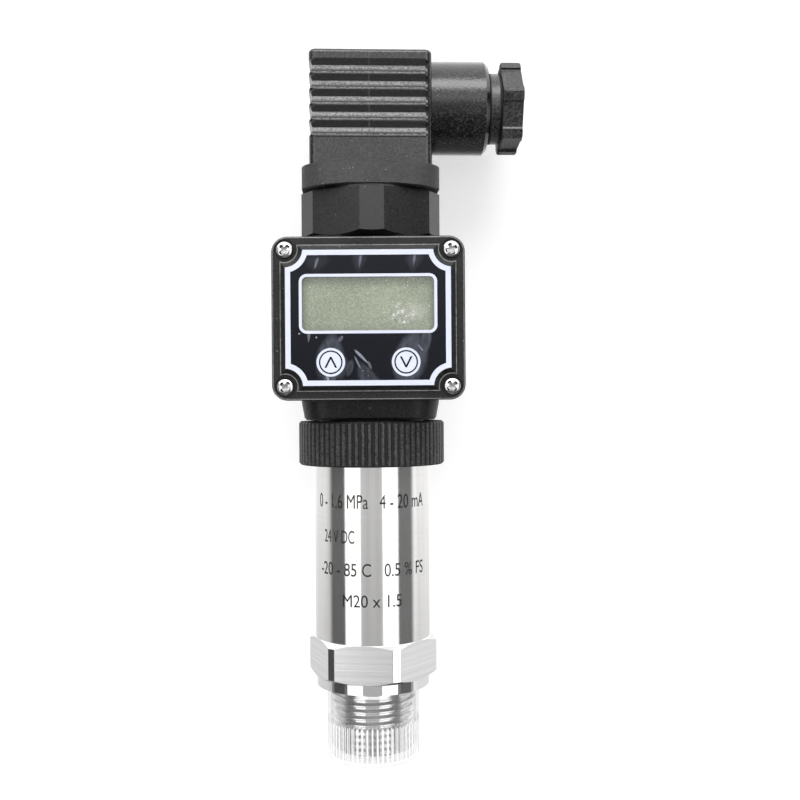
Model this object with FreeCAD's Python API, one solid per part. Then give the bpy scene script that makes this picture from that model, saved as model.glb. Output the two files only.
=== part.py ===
import FreeCAD, Part
import math
import os

# Pressure transmitter with a plug-on local display.
#
# A stainless steel body with an M20 x 1.5 male process connection carries a
# display head, held by a knurled union nut.  On top of the head stands a
# four-pole valve-type connector base with its cable plug, whose cable leaves
# sideways through a gland.  A clear push-on cap protects the process thread.
#
# Millimetres, +Z up.  The origin is the centre of the sealing face, which is the
# underside of the collar above the process thread.  The display faces -Y and the
# cable leaves towards +X.  Fine threads are left as plain cylinders at their
# pitch diameter.

Vector = FreeCAD.Vector
UP = Vector(0, 0, 1)
ACROSS = Vector(1, 0, 0)
ORIGIN = Vector(0, 0, 0)

# ---------------------------------------------------------------- fits
running_clearance = 0.05        # radial, between a part that turns and its seat
slip_clearance = 0.15           # between parts that are put together by hand
thread_height_ratio = 0.6495    # major minus pitch diameter, per unit of pitch

# ------------------------------------------------- process connection
thread_diameter = 20.0
thread_pitch = 1.5
thread_length = 15.0
thread_relief_width = 1.8
thread_relief_ratio = 1.6       # relief's depth on the diameter, per unit of pitch
thread_end_chamfer = 1.0
port_bore_diameter = 6.0
port_mouth_diameter = 9.0
port_mouth_depth = 4.0
collar_step = 0.25              # collar inside the tube's outside, on the radius
collar_height = 2.3
seal_recess_depth = 0.3
hex_corner_height = 1.6         # turned corners outside the flats, on the radius
hex_height = 9.0
hex_turn = -7.7                 # degrees from one flat facing the display side
hex_chamfer_angle = 30.0
weld_spigot_height = 4.0

# ------------------------------------------------------ steel housing
tube_diameter = 27.0
tube_wall = 1.5
tube_length = 47.7
tube_thread_pitch = 1.0
tube_thread_length = 4.6

# ------------------------------------------------- pressure sensor cell
cell_diameter = 19.0
cell_height = 8.6
cell_floor_height = 2.4         # above the sealing face
cell_groove_height = 2.6
cell_pin_count = 6
cell_pin_diameter = 0.6
cell_pin_length = 4.0
cell_pin_circle = 11.0
cell_ring_section = 1.8
lock_ring_height = 3.0
lock_ring_shelf = 1.3           # ring outside the cell, on the radius
lock_ring_width = 3.8

# ------------------------------------------------- signal conditioning
board_thickness = 1.6
board_side_gap = 2.5            # signal board to the tube's inside
signal_board_length = 28.0
signal_board_lift = 2.0         # gap between the cell's pins and the board
carrier_height = 3.0
trimmer_side = 4.5
chip_length = 7.0
chip_width = 5.0
chip_height = 1.4
lock_ring_slot = 2.0
carrier_wire_hole = 3.0

# ----------------------------------------------------------- union nut
nut_wall = 3.65                 # outside the tube
nut_height = 10.15
nut_rib_count = 72
nut_rib_height = 0.42
nut_rib_share = 0.76            # of each rib's pitch
nut_edge_chamfer = 0.45
rib_crest_share = 0.5           # of each rib's foot, on the nut and on the cap
nut_lip_thickness = 1.15
nut_skirt_height = 2.6          # plain mouth that passes over the tube
nut_to_head_gap = 0.4

# --------------------------------------------------- neck of the head
neck_step = 0.3                 # neck outside the tube's bore, on the radius
neck_wall = 3.3
neck_spigot_length = 6.0
circlip_thickness = 1.0
circlip_groove_depth = 0.8
circlip_radial_width = 1.7
circlip_gap_angle = 28.0
neck_ring_section = 1.8

# ----------------------------------------------------- display housing
barrel_set_in = 1.4             # barrel's sides inside the union nut's crests
barrel_depth_less = 0.5         # depth less than width
barrel_corner_radius = 7.0
barrel_height = 41.45
barrel_draft = 0.65             # foot inside the sides, from the draft below the lid
barrel_draft_height = 4.0
barrel_foot_bevel = 0.5
barrel_top_chamfer = 0.8
barrel_wall = 4.5
barrel_roof = 7.0               # threaded wall that takes the connector base
box_depth = 11.2
box_floor = 2.5
box_wall = 3.2
box_back_fillet = 1.5
lid_above_barrel_foot = 4.45    # lid's lower edge above the barrel's foot
parting_distance = 18.2         # joint of lid and box, in front of the axis

# ------------------------------------------------------- display lid
lid_side_room = 6.85            # window to the lid's side
lid_head_room = 9.1             # window to the lid's upper edge
lid_foot_room = 15.2            # window to the lid's lower edge, with the keys
lid_corner_radius = 3.5
lid_flange = 1.8
lid_edge_radius = 0.4
platform_height = 1.3
platform_margin = 1.9           # flange left free around the platform
platform_bevel = 1.15
platform_step = 0.45            # upright foot of the platform
platform_bead = 0.25            # rounded edge above it
screw_inset = 3.0
screw_head_diameter = 3.8
screw_head_height = 1.25
screw_head_edge = 0.45
screw_shank_diameter = 2.2
screw_length = 8.0
screw_slot_width = 0.7
screw_slot_length = 2.5
screw_counterbore = 4.7
screw_counterbore_depth = 0.5
notch_land = 0.35               # between counterbore and platform
film_thickness = 0.22
film_margin = 0.15
window_width = 28.8
window_height = 11.7
window_corner_radius = 1.1
lid_pocket_depth = 1.9
gasket_section = 1.0
gasket_groove_depth = 0.9

# ------------------------------------------------------- keys and board
key_spacing = 16.4
key_height = 8.3                # key centres above the lid's lower edge
key_hole_diameter = 4.2
key_plunger_diameter = 3.4
key_travel = 0.3
key_switch_side = 6.0
key_switch_height = 3.1
key_switch_bore = 3.9
key_switch_well = 1.2
key_flange_diameter = 5.2
key_flange_thickness = 0.7
pillar_inset = 4.3              # pillars' centres inside the board's edges
board_setback = 2.4             # board's face behind the joint of lid and box
lcd_thickness = 1.1
lcd_overlap = 0.8               # glass beyond the window on every side
lcd_frame_wall = 0.9
lcd_frame_lip = 1.2
zebra_width = 1.8
pillar_diameter = 4.0

# -------------------------------------------------------- connector base
connector_turn = 2.8            # degrees the base and its plug are turned
base_overhang = 0.25            # flats outside the barrel's sides
base_corner_height = 0.9        # cut corners outside the flats, on the radius
base_height = 10.7
base_chamfer = 1.1
base_spigot_shoulder = 5.0      # spigot's thread inside the base's flats
base_spigot_pitch = 1.5
base_spigot_length = 6.6
base_wall = 3.5
base_web = 8.0                  # closed moulding that holds the contacts
base_disc_set_in = 0.8          # disc inside the base's flats
base_disc_height = 0.9
base_ring_section = 1.6
contact_inset = 2.3             # contacts' centres inside the plug's block
contact_width = 6.3
contact_thickness = 0.8
contact_reach = 8.0             # above the disc
contact_tail = 4.0              # below the web
insert_diameter = 5.0
insert_length = 6.0

# ------------------------------------------------------- profile gasket
profile_wall = 1.9              # round the plug's foot
profile_corner_radius = 7.5
profile_web = 1.2
profile_rim = 3.4               # height above the web
profile_lip = 0.8               # corners hanging beside the base
profile_lip_end = 0.15          # what is left of the lip where it runs out

# ---------------------------------------------------------- cable plug
plug_set_in = 1.85              # plug's sides inside the barrel's
plug_corner_radius = 1.6
plug_height = 29.4
plug_wall = 2.2
plug_roof = 4.2
plug_top_fillet = 1.0
flute_count = 5
flute_pitch = 3.5
flute_width = 3.2
flute_depth = 0.75
flute_top_drop = 4.17           # first flute's centre below the plug's top
flute_end_margin = 1.0          # end of a flute to the cable side
barrel_axis_drop = 9.9          # gland axis below the plug's top
gland_barrel_wall = 2.65        # outside the gland's thread
gland_barrel_length = 13.7
gland_barrel_chamfer = 0.9
gland_thread_diameter = 16.4
gland_thread_depth = 8.0
gland_throat_room = 1.5         # throat outside the cable's bore, on the radius
gland_seal_set_in = 0.9         # seal inside the gland's thread, on the radius
gland_seal_bore = 8.0
gland_seal_length = 4.4
gland_washer_thickness = 0.8
gland_washer_room = 0.8         # washer's bore outside the seal's, on the radius
gland_nut_gap = 3.2             # between the barrel's end and the nut's head
gland_nut_shank = 5.6           # inside the barrel
gland_nut_head = 4.7
gland_nut_rim = 1.1             # flats outside the gland's thread, on the radius
gland_nut_room = 1.2            # nut's bore outside the seal's, on the radius
gland_nut_turn = 22.4           # degrees of the lowest corner from straight down
gland_nut_land = 2.0            # flat land beside each corner
gland_nut_step = 0.45
gland_nut_mouth = 0.3
gland_nut_groove_width = 0.55   # on both sides of the shank's collar
gland_nut_groove_depth = 0.5
plug_screw_diameter = 3.0
plug_screw_head = 5.6
plug_screw_head_height = 1.9
plug_screw_sink = 0.3           # head below the plug's top
plug_screw_slot = 0.8
plug_screw_seal = 0.9
block_gap = 0.4                 # block to the plug's inside
block_height = 15.0
sleeve_wall = 0.7
sleeve_height = 9.0
terminal_screw_diameter = 2.0
terminal_screw_head = 4.2
terminal_screw_length = 4.0

# --------------------------------------------------------- thread cap
cap_thread_gap = 0.105          # round the thread's crests
cap_wall = 0.72
cap_floor = 1.0
cap_end_gap = 1.3               # below the end of the thread
cap_edge_radius = 0.6
cap_rib_count = 56
cap_rib_depth = 0.22
cap_ribbed_length = 9.4

# ------------------------------------------- diameters and widths from those
tube_bore = tube_diameter - 2 * tube_wall
collar_diameter = tube_diameter - 2 * collar_step
hex_across_flats = tube_diameter
hex_corner_diameter = hex_across_flats + 2 * hex_corner_height
thread_relief_diameter = thread_diameter - thread_relief_ratio * thread_pitch
cap_diameter = thread_diameter + 2 * (cap_thread_gap + cap_wall)
lock_ring_diameter = cell_diameter + 2 * lock_ring_shelf
lock_ring_bore = lock_ring_diameter - 2 * lock_ring_width
signal_board_width = tube_bore - 2 * board_side_gap
nut_diameter = tube_diameter + 2 * nut_wall
neck_diameter = tube_bore + 2 * neck_step
neck_bore = neck_diameter - 2 * neck_wall
barrel_width = nut_diameter - 2 * barrel_set_in
barrel_depth = barrel_width - barrel_depth_less
barrel_bore = barrel_depth - 2 * barrel_wall
lid_width = window_width + 2 * lid_side_room
lid_height = window_height + lid_head_room + lid_foot_room
window_rise = (lid_foot_room - lid_head_room) / 2
key_drop = lid_height / 2 - key_height
base_across_flats = barrel_width + 2 * base_overhang
base_corner_cut = base_across_flats + 2 * base_corner_height
base_spigot_diameter = base_across_flats - 2 * base_spigot_shoulder
base_bore = base_spigot_diameter - 2 * base_wall
base_disc_diameter = base_across_flats - 2 * base_disc_set_in
plug_side = barrel_width - 2 * plug_set_in
profile_side = plug_side + 2 * profile_wall
block_side = plug_side - 2 * (plug_wall + block_gap)
contact_circle = block_side - 2 * contact_inset
gland_barrel_diameter = gland_thread_diameter + 2 * gland_barrel_wall
gland_seal_diameter = gland_thread_diameter - 2 * gland_seal_set_in
gland_throat_diameter = gland_seal_bore + 2 * gland_throat_room
gland_washer_bore = gland_seal_bore + 2 * gland_washer_room
gland_nut_flats = gland_thread_diameter + 2 * gland_nut_rim
gland_nut_bore = gland_seal_bore + 2 * gland_nut_room

# ------------------------------------------- heights worked out from those
collar_top = collar_height
hex_top = collar_top + hex_height
tube_top = hex_top + tube_length
cell_top = cell_floor_height + cell_height
lock_ring_top = cell_top + lock_ring_height
neck_shoulder = tube_top + slip_clearance
circlip_bottom = neck_shoulder + 0.4
circlip_top = circlip_bottom + circlip_thickness
nut_lip_bottom = circlip_top + slip_clearance
nut_top = nut_lip_bottom + nut_lip_thickness
nut_bottom = nut_top - nut_height
barrel_foot = nut_top + nut_to_head_gap
barrel_top = barrel_foot + barrel_height
lid_centre = barrel_foot + lid_above_barrel_foot + lid_height / 2
base_top = barrel_top + base_height
disc_top = base_top + base_disc_height
web_top = disc_top + profile_web
plug_foot = web_top
plug_top = plug_foot + plug_height
gland_axis = plug_top - barrel_axis_drop
gland_barrel_end = plug_side / 2 + gland_barrel_length
gland_head_start = gland_barrel_end + gland_nut_gap
gland_shank_end = gland_barrel_end - gland_nut_shank

tube_thread = tube_diameter - thread_height_ratio * tube_thread_pitch
process_thread = thread_diameter - thread_height_ratio * thread_pitch
base_thread = base_spigot_diameter - thread_height_ratio * base_spigot_pitch
flange_front = parting_distance + lid_flange
platform_front = flange_front + platform_height
film_front = platform_front + film_thickness
pocket_floor = parting_distance + lid_pocket_depth
board_front = parting_distance - board_setback
board_back = board_front - board_thickness


# ------------------------------------------------------------- helpers
def cylinder(diameter, low, high, x=0.0, y=0.0):
    """An upright cylinder between two heights."""
    return Part.makeCylinder(diameter / 2, high - low, Vector(x, y, low), UP)


def bar(diameter, start, end, height):
    """A cylinder along +X at a height, between two distances from the axis."""
    return Part.makeCylinder(diameter / 2, end - start, Vector(start, 0, height), ACROSS)


def turned(outline):
    """A solid of revolution about Z from (radius, height) corners."""
    corners = [Vector(radius, 0, height) for radius, height in outline]
    face = Part.Face(Part.makePolygon(corners + corners[:1]))
    return face.revolve(ORIGIN, UP, 360)


def lofted(sections):
    """A solid with straight sides through outlines of the XY plane, each at its height."""
    wires = []
    for outline, height in sections:
        wire = outline.OuterWire
        wire.translate(Vector(0, 0, height))
        wires.append(wire)
    return Part.makeLoft(wires, True, True)


def rounded_edge(radius):
    """How far in and up the two facets of a rounded edge reach."""
    angles = [math.radians(angle) for angle in (0, 50, 90)]
    return [(radius * (1 - math.cos(a)), radius * math.sin(a)) for a in angles]


def block(size_x, size_y, low, high, x=0.0, y=0.0):
    """A box centred on (x, y), between two heights."""
    corner = Vector(x - size_x / 2, y - size_y / 2, low)
    return Part.makeBox(size_x, size_y, high - low, corner)


def o_ring(centre_diameter, section, height):
    """An O-ring about Z, its section pressed flat where it bears."""
    flat = section / 2 * math.tan(math.radians(22.5))
    half = section / 2
    corners = [(half, flat), (flat, half), (-flat, half), (-half, flat)]
    corners += [(-x, -y) for x, y in corners]
    return turned([(centre_diameter / 2 + x, height + y) for x, y in corners])


def rounded_rectangle(width, height, radius):
    """A face in the XY plane, centred, with round corners."""
    x, y = width / 2 - radius, height / 2 - radius
    edges = []
    for quarter, (cx, cy) in enumerate([(x, y), (-x, y), (-x, -y), (x, -y)]):
        corner = [math.radians(90 * quarter + step) for step in (0, 45, 90)]
        edges.append(Part.Arc(*[
            Vector(cx + radius * math.cos(a), cy + radius * math.sin(a), 0) for a in corner
        ]).toShape())
    sides = []
    for first, second in zip(edges, edges[1:] + edges[:1]):
        sides.append(Part.makeLine(first.Vertexes[-1].Point, second.Vertexes[0].Point))
    loop = [edge for pair in zip(edges, sides) for edge in pair]
    return Part.Face(Part.Wire(loop))


def notched_rectangle(width, height, radius, centre_x, centre_y):
    """A face in the XY plane whose corners are hollowed by arcs about four centres."""
    along_x = centre_x - math.sqrt(radius ** 2 - (height / 2 - centre_y) ** 2)
    along_y = centre_y - math.sqrt(radius ** 2 - (width / 2 - centre_x) ** 2)
    middle = radius / math.sqrt(2)
    edges = []
    for sx, sy in [(1, 1), (-1, 1), (-1, -1), (1, -1)]:
        ends = [
            Vector(sx * width / 2, sy * along_y, 0),
            Vector(sx * (centre_x - middle), sy * (centre_y - middle), 0),
            Vector(sx * along_x, sy * height / 2, 0),
        ]
        if sx * sy < 0:
            ends.reverse()
        edges.append(Part.Arc(*ends).toShape())
    sides = []
    for first, second in zip(edges, edges[1:] + edges[:1]):
        sides.append(Part.makeLine(first.Vertexes[-1].Point, second.Vertexes[0].Point))
    loop = [edge for pair in zip(edges, sides) for edge in pair]
    return Part.Face(Part.Wire(loop))


def cut_hexagon(across_flats, across_corners):
    """A hexagon in the XY plane with a corner towards -Y, its corners cut flat."""
    apothem = across_flats / 2
    reach = across_corners - math.sqrt(3) * apothem
    points = []
    for side in range(6):
        normal = math.radians(60 * side)
        for offset in (-reach, reach):
            points.append(Vector(
                apothem * math.cos(normal) - offset * math.sin(normal),
                apothem * math.sin(normal) + offset * math.cos(normal),
                0,
            ))
    return Part.Face(Part.makePolygon(points + points[:1]))


def raised(face, low, high):
    """A face of the XY plane made a solid between two heights."""
    lifted = face.copy()
    lifted.translate(Vector(0, 0, low))
    return lifted.extrude(Vector(0, 0, high - low))


def on_front(shape, x=0.0, rise=0.0):
    """From a plan with +Z forwards to the display side, about the lid's centre."""
    placed = shape.copy()
    placed.rotate(ORIGIN, ACROSS, 90)
    placed.translate(Vector(x, 0, lid_centre + rise))
    return placed


def with_plug(shape):
    """Turns a piece of the connector as the connector is turned."""
    placed = shape.copy()
    placed.rotate(ORIGIN, UP, connector_turn)
    return placed


def edges_at(shape, height, tolerance=1e-4):
    """The edges that lie flat at a height."""
    return [
        edge for edge in shape.Edges
        if abs(edge.BoundBox.ZMin - height) < tolerance
        and abs(edge.BoundBox.ZMax - height) < tolerance
    ]


def group(shapes):
    """Several separate solids kept in one node."""
    return Part.makeCompound(shapes)


# --------------------------------------------------- process connection
def make_process_connection():
    thread_radius = process_thread / 2
    relief_radius = thread_relief_diameter / 2
    recess_radius = cap_diameter / 2 + slip_clearance
    shaft = turned([
        (0, -thread_length),
        (thread_radius - thread_end_chamfer, -thread_length),
        (thread_radius, thread_end_chamfer - thread_length),
        (thread_radius, -thread_relief_width),
        (relief_radius, -thread_relief_width),
        (relief_radius, seal_recess_depth),
        (recess_radius, seal_recess_depth),
        (recess_radius, 0),
        (collar_diameter / 2, 0),
        (collar_diameter / 2, collar_top),
        (0, collar_top),
    ])
    hexagon = raised(plain_hexagon(hex_across_flats), collar_top, hex_top)
    fall = (hex_corner_diameter - hex_across_flats) / 2 * math.tan(math.radians(hex_chamfer_angle))
    blank = turned([
        (0, collar_top),
        (hex_across_flats / 2, collar_top),
        (hex_corner_diameter / 2, collar_top + fall),
        (hex_corner_diameter / 2, hex_top - fall),
        (hex_across_flats / 2, hex_top),
        (0, hex_top),
    ])
    hexagon = hexagon.common(blank)
    hexagon.rotate(ORIGIN, UP, hex_turn)
    spigot = cylinder(tube_bore, hex_top, hex_top + weld_spigot_height)
    body = shaft.fuse([hexagon, spigot]).removeSplitter()
    pocket = cylinder(cell_diameter + 2 * running_clearance, cell_floor_height, lock_ring_top)
    ring_seat = cylinder(lock_ring_diameter, cell_top, hex_top + weld_spigot_height)
    port = cylinder(port_bore_diameter, -thread_length, cell_floor_height)
    mouth = turned([
        (0, -thread_length),
        (port_mouth_diameter / 2, -thread_length),
        (port_bore_diameter / 2, port_mouth_depth - thread_length),
        (0, port_mouth_depth - thread_length),
    ])
    return body.cut([pocket, ring_seat, port, mouth])


def plain_hexagon(across_flats):
    """A hexagon in the XY plane with one flat towards -Y."""
    corner = across_flats / math.sqrt(3)
    points = [
        Vector(corner * math.cos(math.radians(60 * i)), corner * math.sin(math.radians(60 * i)), 0)
        for i in range(7)
    ]
    return Part.Face(Part.makePolygon(points))


def make_housing_tube():
    return turned([
        (tube_bore / 2, hex_top),
        (tube_diameter / 2, hex_top),
        (tube_diameter / 2, tube_top - tube_thread_length),
        (tube_thread / 2, tube_top - tube_thread_length),
        (tube_thread / 2, tube_top),
        (tube_bore / 2, tube_top),
    ])


# ----------------------------------------------------- sensor and board
def make_sensor_cell():
    groove_bottom = cell_floor_height + cell_height / 2 - cell_groove_height / 2
    groove_top = groove_bottom + cell_groove_height
    groove_radius = cell_diameter / 2 - cell_ring_section
    rim = cell_diameter / 2
    dish = rim - 1.5
    can = turned([
        (0, cell_floor_height + 0.6),
        (dish, cell_floor_height + 0.6),
        (dish, cell_floor_height),
        (rim, cell_floor_height),
        (rim, groove_bottom),
        (groove_radius, groove_bottom),
        (groove_radius, groove_top),
        (rim, groove_top),
        (rim, cell_top),
        (0, cell_top),
    ])
    pins = []
    for index in range(cell_pin_count):
        angle = 2 * math.pi * index / cell_pin_count
        x, y = cell_pin_circle / 2 * math.cos(angle), cell_pin_circle / 2 * math.sin(angle)
        pins.append(cylinder(cell_pin_diameter, cell_top, cell_top + cell_pin_length, x, y))
    return can.fuse(pins)


def make_sensor_o_ring():
    centre = cell_diameter - cell_ring_section
    return o_ring(centre, cell_ring_section, cell_floor_height + cell_height / 2)


def make_sensor_lock_ring():
    ring = turned([
        (lock_ring_bore / 2, cell_top),
        (lock_ring_diameter / 2, cell_top),
        (lock_ring_diameter / 2, lock_ring_top),
        (lock_ring_bore / 2, lock_ring_top),
    ])
    slot_floor = lock_ring_top - lock_ring_height / 2
    return ring.cut(block(lock_ring_slot, lock_ring_diameter, slot_floor, lock_ring_top))


signal_board_foot = cell_top + cell_pin_length + signal_board_lift
signal_board_top = signal_board_foot + signal_board_length


def make_signal_board():
    board = block(signal_board_width, board_thickness, signal_board_foot, signal_board_top)
    tongue = block(
        signal_board_width / 2, board_thickness,
        signal_board_top, signal_board_top + carrier_height,
    )
    return board.fuse(tongue).removeSplitter()


def make_trimmers():
    height = signal_board_top - trimmer_side
    front = board_thickness / 2 + trimmer_side / 2
    low, high = height - trimmer_side / 2, height + trimmer_side / 2
    return group([
        block(trimmer_side, trimmer_side, low, high, side * signal_board_width / 4, -front)
        for side in (-1, 1)
    ])


def make_amplifier_chip():
    middle = (signal_board_foot + signal_board_top) / 2
    offset = -(board_thickness + chip_height) / 2
    return block(chip_width, chip_height, middle - chip_length / 2, middle + chip_length / 2,
                 0, offset)


def make_board_carrier():
    low = signal_board_top
    disc = cylinder(tube_bore - 2 * slip_clearance, low, low + carrier_height)
    slot = block(
        signal_board_width / 2 + 2 * running_clearance,
        board_thickness + 2 * running_clearance, low, low + carrier_height,
    )
    wire_hole = [
        cylinder(carrier_wire_hole, low, low + carrier_height, 0, side * tube_bore / 4)
        for side in (-1, 1)
    ]
    return disc.cut([slot] + wire_hole)


# ------------------------------------------------------------ union nut
def knurled_outline(crest_radius, count, height, share):
    """Tapered ribs side by side around a circle."""
    root_radius = crest_radius - height
    pitch = 2 * math.pi / count
    half = pitch * share / 2

    def point(radius, angle):
        return Vector(radius * math.cos(angle), radius * math.sin(angle), 0)

    corners = []
    for index in range(count):
        middle = index * pitch
        corners += [
            point(root_radius, middle - half),
            point(crest_radius, middle - half * rib_crest_share),
            point(crest_radius, middle + half * rib_crest_share),
            point(root_radius, middle + half),
        ]
    return Part.Face(Part.makePolygon(corners + corners[:1]))


def make_union_nut():
    crest = nut_diameter / 2
    ribs = knurled_outline(crest, nut_rib_count, nut_rib_height, nut_rib_share)
    knurled = raised(ribs, nut_bottom, nut_top)
    envelope = turned([
        (0, nut_bottom),
        (crest - nut_edge_chamfer, nut_bottom),
        (crest, nut_bottom + nut_edge_chamfer),
        (crest, nut_top - nut_edge_chamfer),
        (crest - nut_edge_chamfer, nut_top),
        (0, nut_top),
    ])
    body = knurled.common(envelope)
    lip_bore = cylinder(neck_diameter + 2 * slip_clearance, nut_bottom, nut_top)
    clip_room = cylinder(
        circlip_outer() + 2 * slip_clearance, tube_top - 0.5, nut_lip_bottom,
    )
    thread = cylinder(tube_thread + 2 * running_clearance, nut_bottom, tube_top)
    skirt = cylinder(
        tube_diameter + 2 * slip_clearance, nut_bottom,
        tube_top - tube_thread_length + running_clearance,
    )
    return body.cut([lip_bore, clip_room, thread, skirt])


# ----------------------------------------------------- neck of the head
def circlip_inner():
    return neck_diameter - 2 * circlip_groove_depth


def circlip_outer():
    return circlip_inner() + 2 * circlip_radial_width


def make_neck_circlip():
    ring = turned([
        (circlip_inner() / 2, circlip_bottom),
        (circlip_outer() / 2, circlip_bottom),
        (circlip_outer() / 2, circlip_top),
        (circlip_inner() / 2, circlip_top),
    ])
    reach = circlip_outer()
    half = math.radians(circlip_gap_angle / 2)
    gap = Part.Face(Part.makePolygon([
        ORIGIN,
        Vector(-reach * math.sin(half), reach * math.cos(half), 0),
        Vector(reach * math.sin(half), reach * math.cos(half), 0),
        ORIGIN,
    ]))
    return ring.cut(raised(gap, circlip_bottom, circlip_top))


neck_spigot_bottom = neck_shoulder - neck_spigot_length
neck_ring_height = neck_shoulder - neck_spigot_length / 2
neck_spigot_diameter = tube_bore - 2 * running_clearance
neck_ring_centre = neck_spigot_diameter - neck_ring_section


def make_neck_o_ring():
    return o_ring(neck_ring_centre, neck_ring_section, neck_ring_height)


# ------------------------------------------------------ display housing
def screw_places():
    """The four lid screws, from the lid's centre."""
    x = lid_width / 2 - screw_inset
    y = lid_height / 2 - screw_inset
    return [(sx * x, sy * y) for sx in (1, -1) for sy in (1, -1)]


def notched_plan(margin, notch):
    """A plan of the lid less a margin, hollowed by a radius about its screws."""
    return notched_rectangle(
        lid_width - 2 * margin, lid_height - 2 * margin, notch,
        lid_width / 2 - screw_inset, lid_height / 2 - screw_inset,
    )


def gasket_plan(margin):
    return notched_plan(box_wall + margin, screw_inset + 0.6 + margin)


def barrel_plan(inset):
    """The barrel's outline, drawn in from its sides."""
    return rounded_rectangle(
        barrel_width - 2 * inset, barrel_depth - 2 * inset, barrel_corner_radius - inset,
    )


def make_display_housing():
    barrel = lofted([
        (barrel_plan(barrel_draft + barrel_foot_bevel), barrel_foot),
        (barrel_plan(barrel_draft), barrel_foot + barrel_foot_bevel),
        (barrel_plan(0), barrel_foot + barrel_draft_height),
        (barrel_plan(0), barrel_top),
    ])
    barrel = barrel.makeChamfer(barrel_top_chamfer, edges_at(barrel, barrel_top))
    plan = rounded_rectangle(
        lid_width - 2 * slip_clearance, lid_height - 2 * slip_clearance,
        lid_corner_radius - slip_clearance,
    )
    back = parting_distance - box_depth
    box = raised(plan, back, parting_distance)
    box = box.makeFillet(box_back_fillet, edges_at(box, back))
    neck = turned([
        (0, neck_spigot_bottom),
        (neck_spigot_diameter / 2, neck_spigot_bottom),
        (neck_spigot_diameter / 2, neck_shoulder),
        (neck_diameter / 2, neck_shoulder),
        (neck_diameter / 2, circlip_bottom),
        (circlip_inner() / 2, circlip_bottom),
        (circlip_inner() / 2, circlip_top),
        (neck_diameter / 2, circlip_top),
        (neck_diameter / 2, barrel_foot + barrel_draft_height),
        (0, barrel_foot + barrel_draft_height),
    ])
    shell = barrel.fuse([on_front(box), neck])
    cavity = raised(gasket_plan(gasket_section), back + box_floor, parting_distance)
    groove = raised(
        gasket_plan(0), parting_distance - gasket_groove_depth, parting_distance,
    )
    wiring = cylinder(barrel_bore, barrel_foot + 3.0, barrel_top - barrel_roof)
    throat = cylinder(neck_bore, neck_spigot_bottom, barrel_top)
    base_seat = cylinder(base_thread, barrel_top - barrel_roof, barrel_top)
    base_ring_seat = cylinder(
        base_thread + 2 * base_ring_section, barrel_top - base_ring_section, barrel_top,
    )
    neck_groove = turned([
        (neck_spigot_diameter / 2 - neck_ring_section, neck_ring_height - neck_ring_section / 2),
        (neck_spigot_diameter / 2 + 1, neck_ring_height - neck_ring_section / 2),
        (neck_spigot_diameter / 2 + 1, neck_ring_height + neck_ring_section / 2),
        (neck_spigot_diameter / 2 - neck_ring_section, neck_ring_height + neck_ring_section / 2),
    ])
    pilots = [
        on_front(Part.makeCylinder(
            screw_shank_diameter / 2, screw_length,
            Vector(x, y, parting_distance - screw_length), UP,
        ))
        for x, y in screw_places()
    ]
    shell = shell.cut(
        [on_front(cavity), on_front(groove), wiring, throat, base_seat, base_ring_seat,
         neck_groove] + pilots
    )
    pillars = [
        on_front(Part.makeCylinder(
            pillar_diameter / 2, board_back - back - box_floor,
            Vector(x, y, back + box_floor), UP,
        ))
        for x, y in pillar_places()
    ]
    return shell.fuse(pillars).removeSplitter()


def pillar_places():
    """The four pillars that carry the display's board, from the lid's centre."""
    inset = box_wall + gasket_section + slip_clearance + pillar_inset
    x, y = lid_width / 2 - inset, lid_height / 2 - inset
    return [(sx * x, sy * y) for sx in (1, -1) for sy in (1, -1)]


# ----------------------------------------------------------- display lid
def key_places():
    """The up and down keys, from the lid's centre."""
    return {"up": -key_spacing / 2, "down": key_spacing / 2}


def platform_arc(margin):
    return screw_counterbore / 2 + notch_land + margin


def lid_plan(inset):
    """The lid's outline, drawn in from its sides."""
    return rounded_rectangle(
        lid_width - 2 * inset, lid_height - 2 * inset, lid_corner_radius - inset,
    )


def platform_plan(inset):
    """The platform's outline, drawn in from its foot."""
    return notched_plan(platform_margin + inset, platform_arc(inset))


def make_display_lid():
    edge = flange_front - lid_edge_radius
    plate = lofted([(lid_plan(0), parting_distance)] + [
        (lid_plan(inset), edge + rise) for inset, rise in rounded_edge(lid_edge_radius)
    ])
    step = flange_front + platform_step
    platform = lofted([(platform_plan(0), flange_front)] + [
        (platform_plan(inset), step + rise) for inset, rise in rounded_edge(platform_bead)
    ] + [(platform_plan(platform_bevel), platform_front)])
    body = plate.fuse(platform)
    window = rounded_rectangle(window_width, window_height, window_corner_radius)
    window = raised(window, parting_distance, platform_front)
    window.translate(Vector(0, window_rise, 0))
    pocket = raised(
        gasket_plan(gasket_section + slip_clearance), parting_distance, pocket_floor,
    )
    cuts = [window, pocket]
    for x in key_places().values():
        cuts.append(cylinder(key_hole_diameter, parting_distance, platform_front, x, -key_drop))
    seat = flange_front - screw_counterbore_depth
    for x, y in screw_places():
        cuts.append(cylinder(screw_counterbore, seat, platform_front, x, y))
        cuts.append(cylinder(
            screw_shank_diameter + 2 * slip_clearance, parting_distance, flange_front, x, y,
        ))
    return on_front(body.cut(cuts))


def make_lid_gasket():
    low = parting_distance - gasket_groove_depth
    outer = raised(gasket_plan(0), low, parting_distance)
    inner = raised(gasket_plan(gasket_section), low, parting_distance)
    return on_front(outer.cut(inner))


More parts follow.
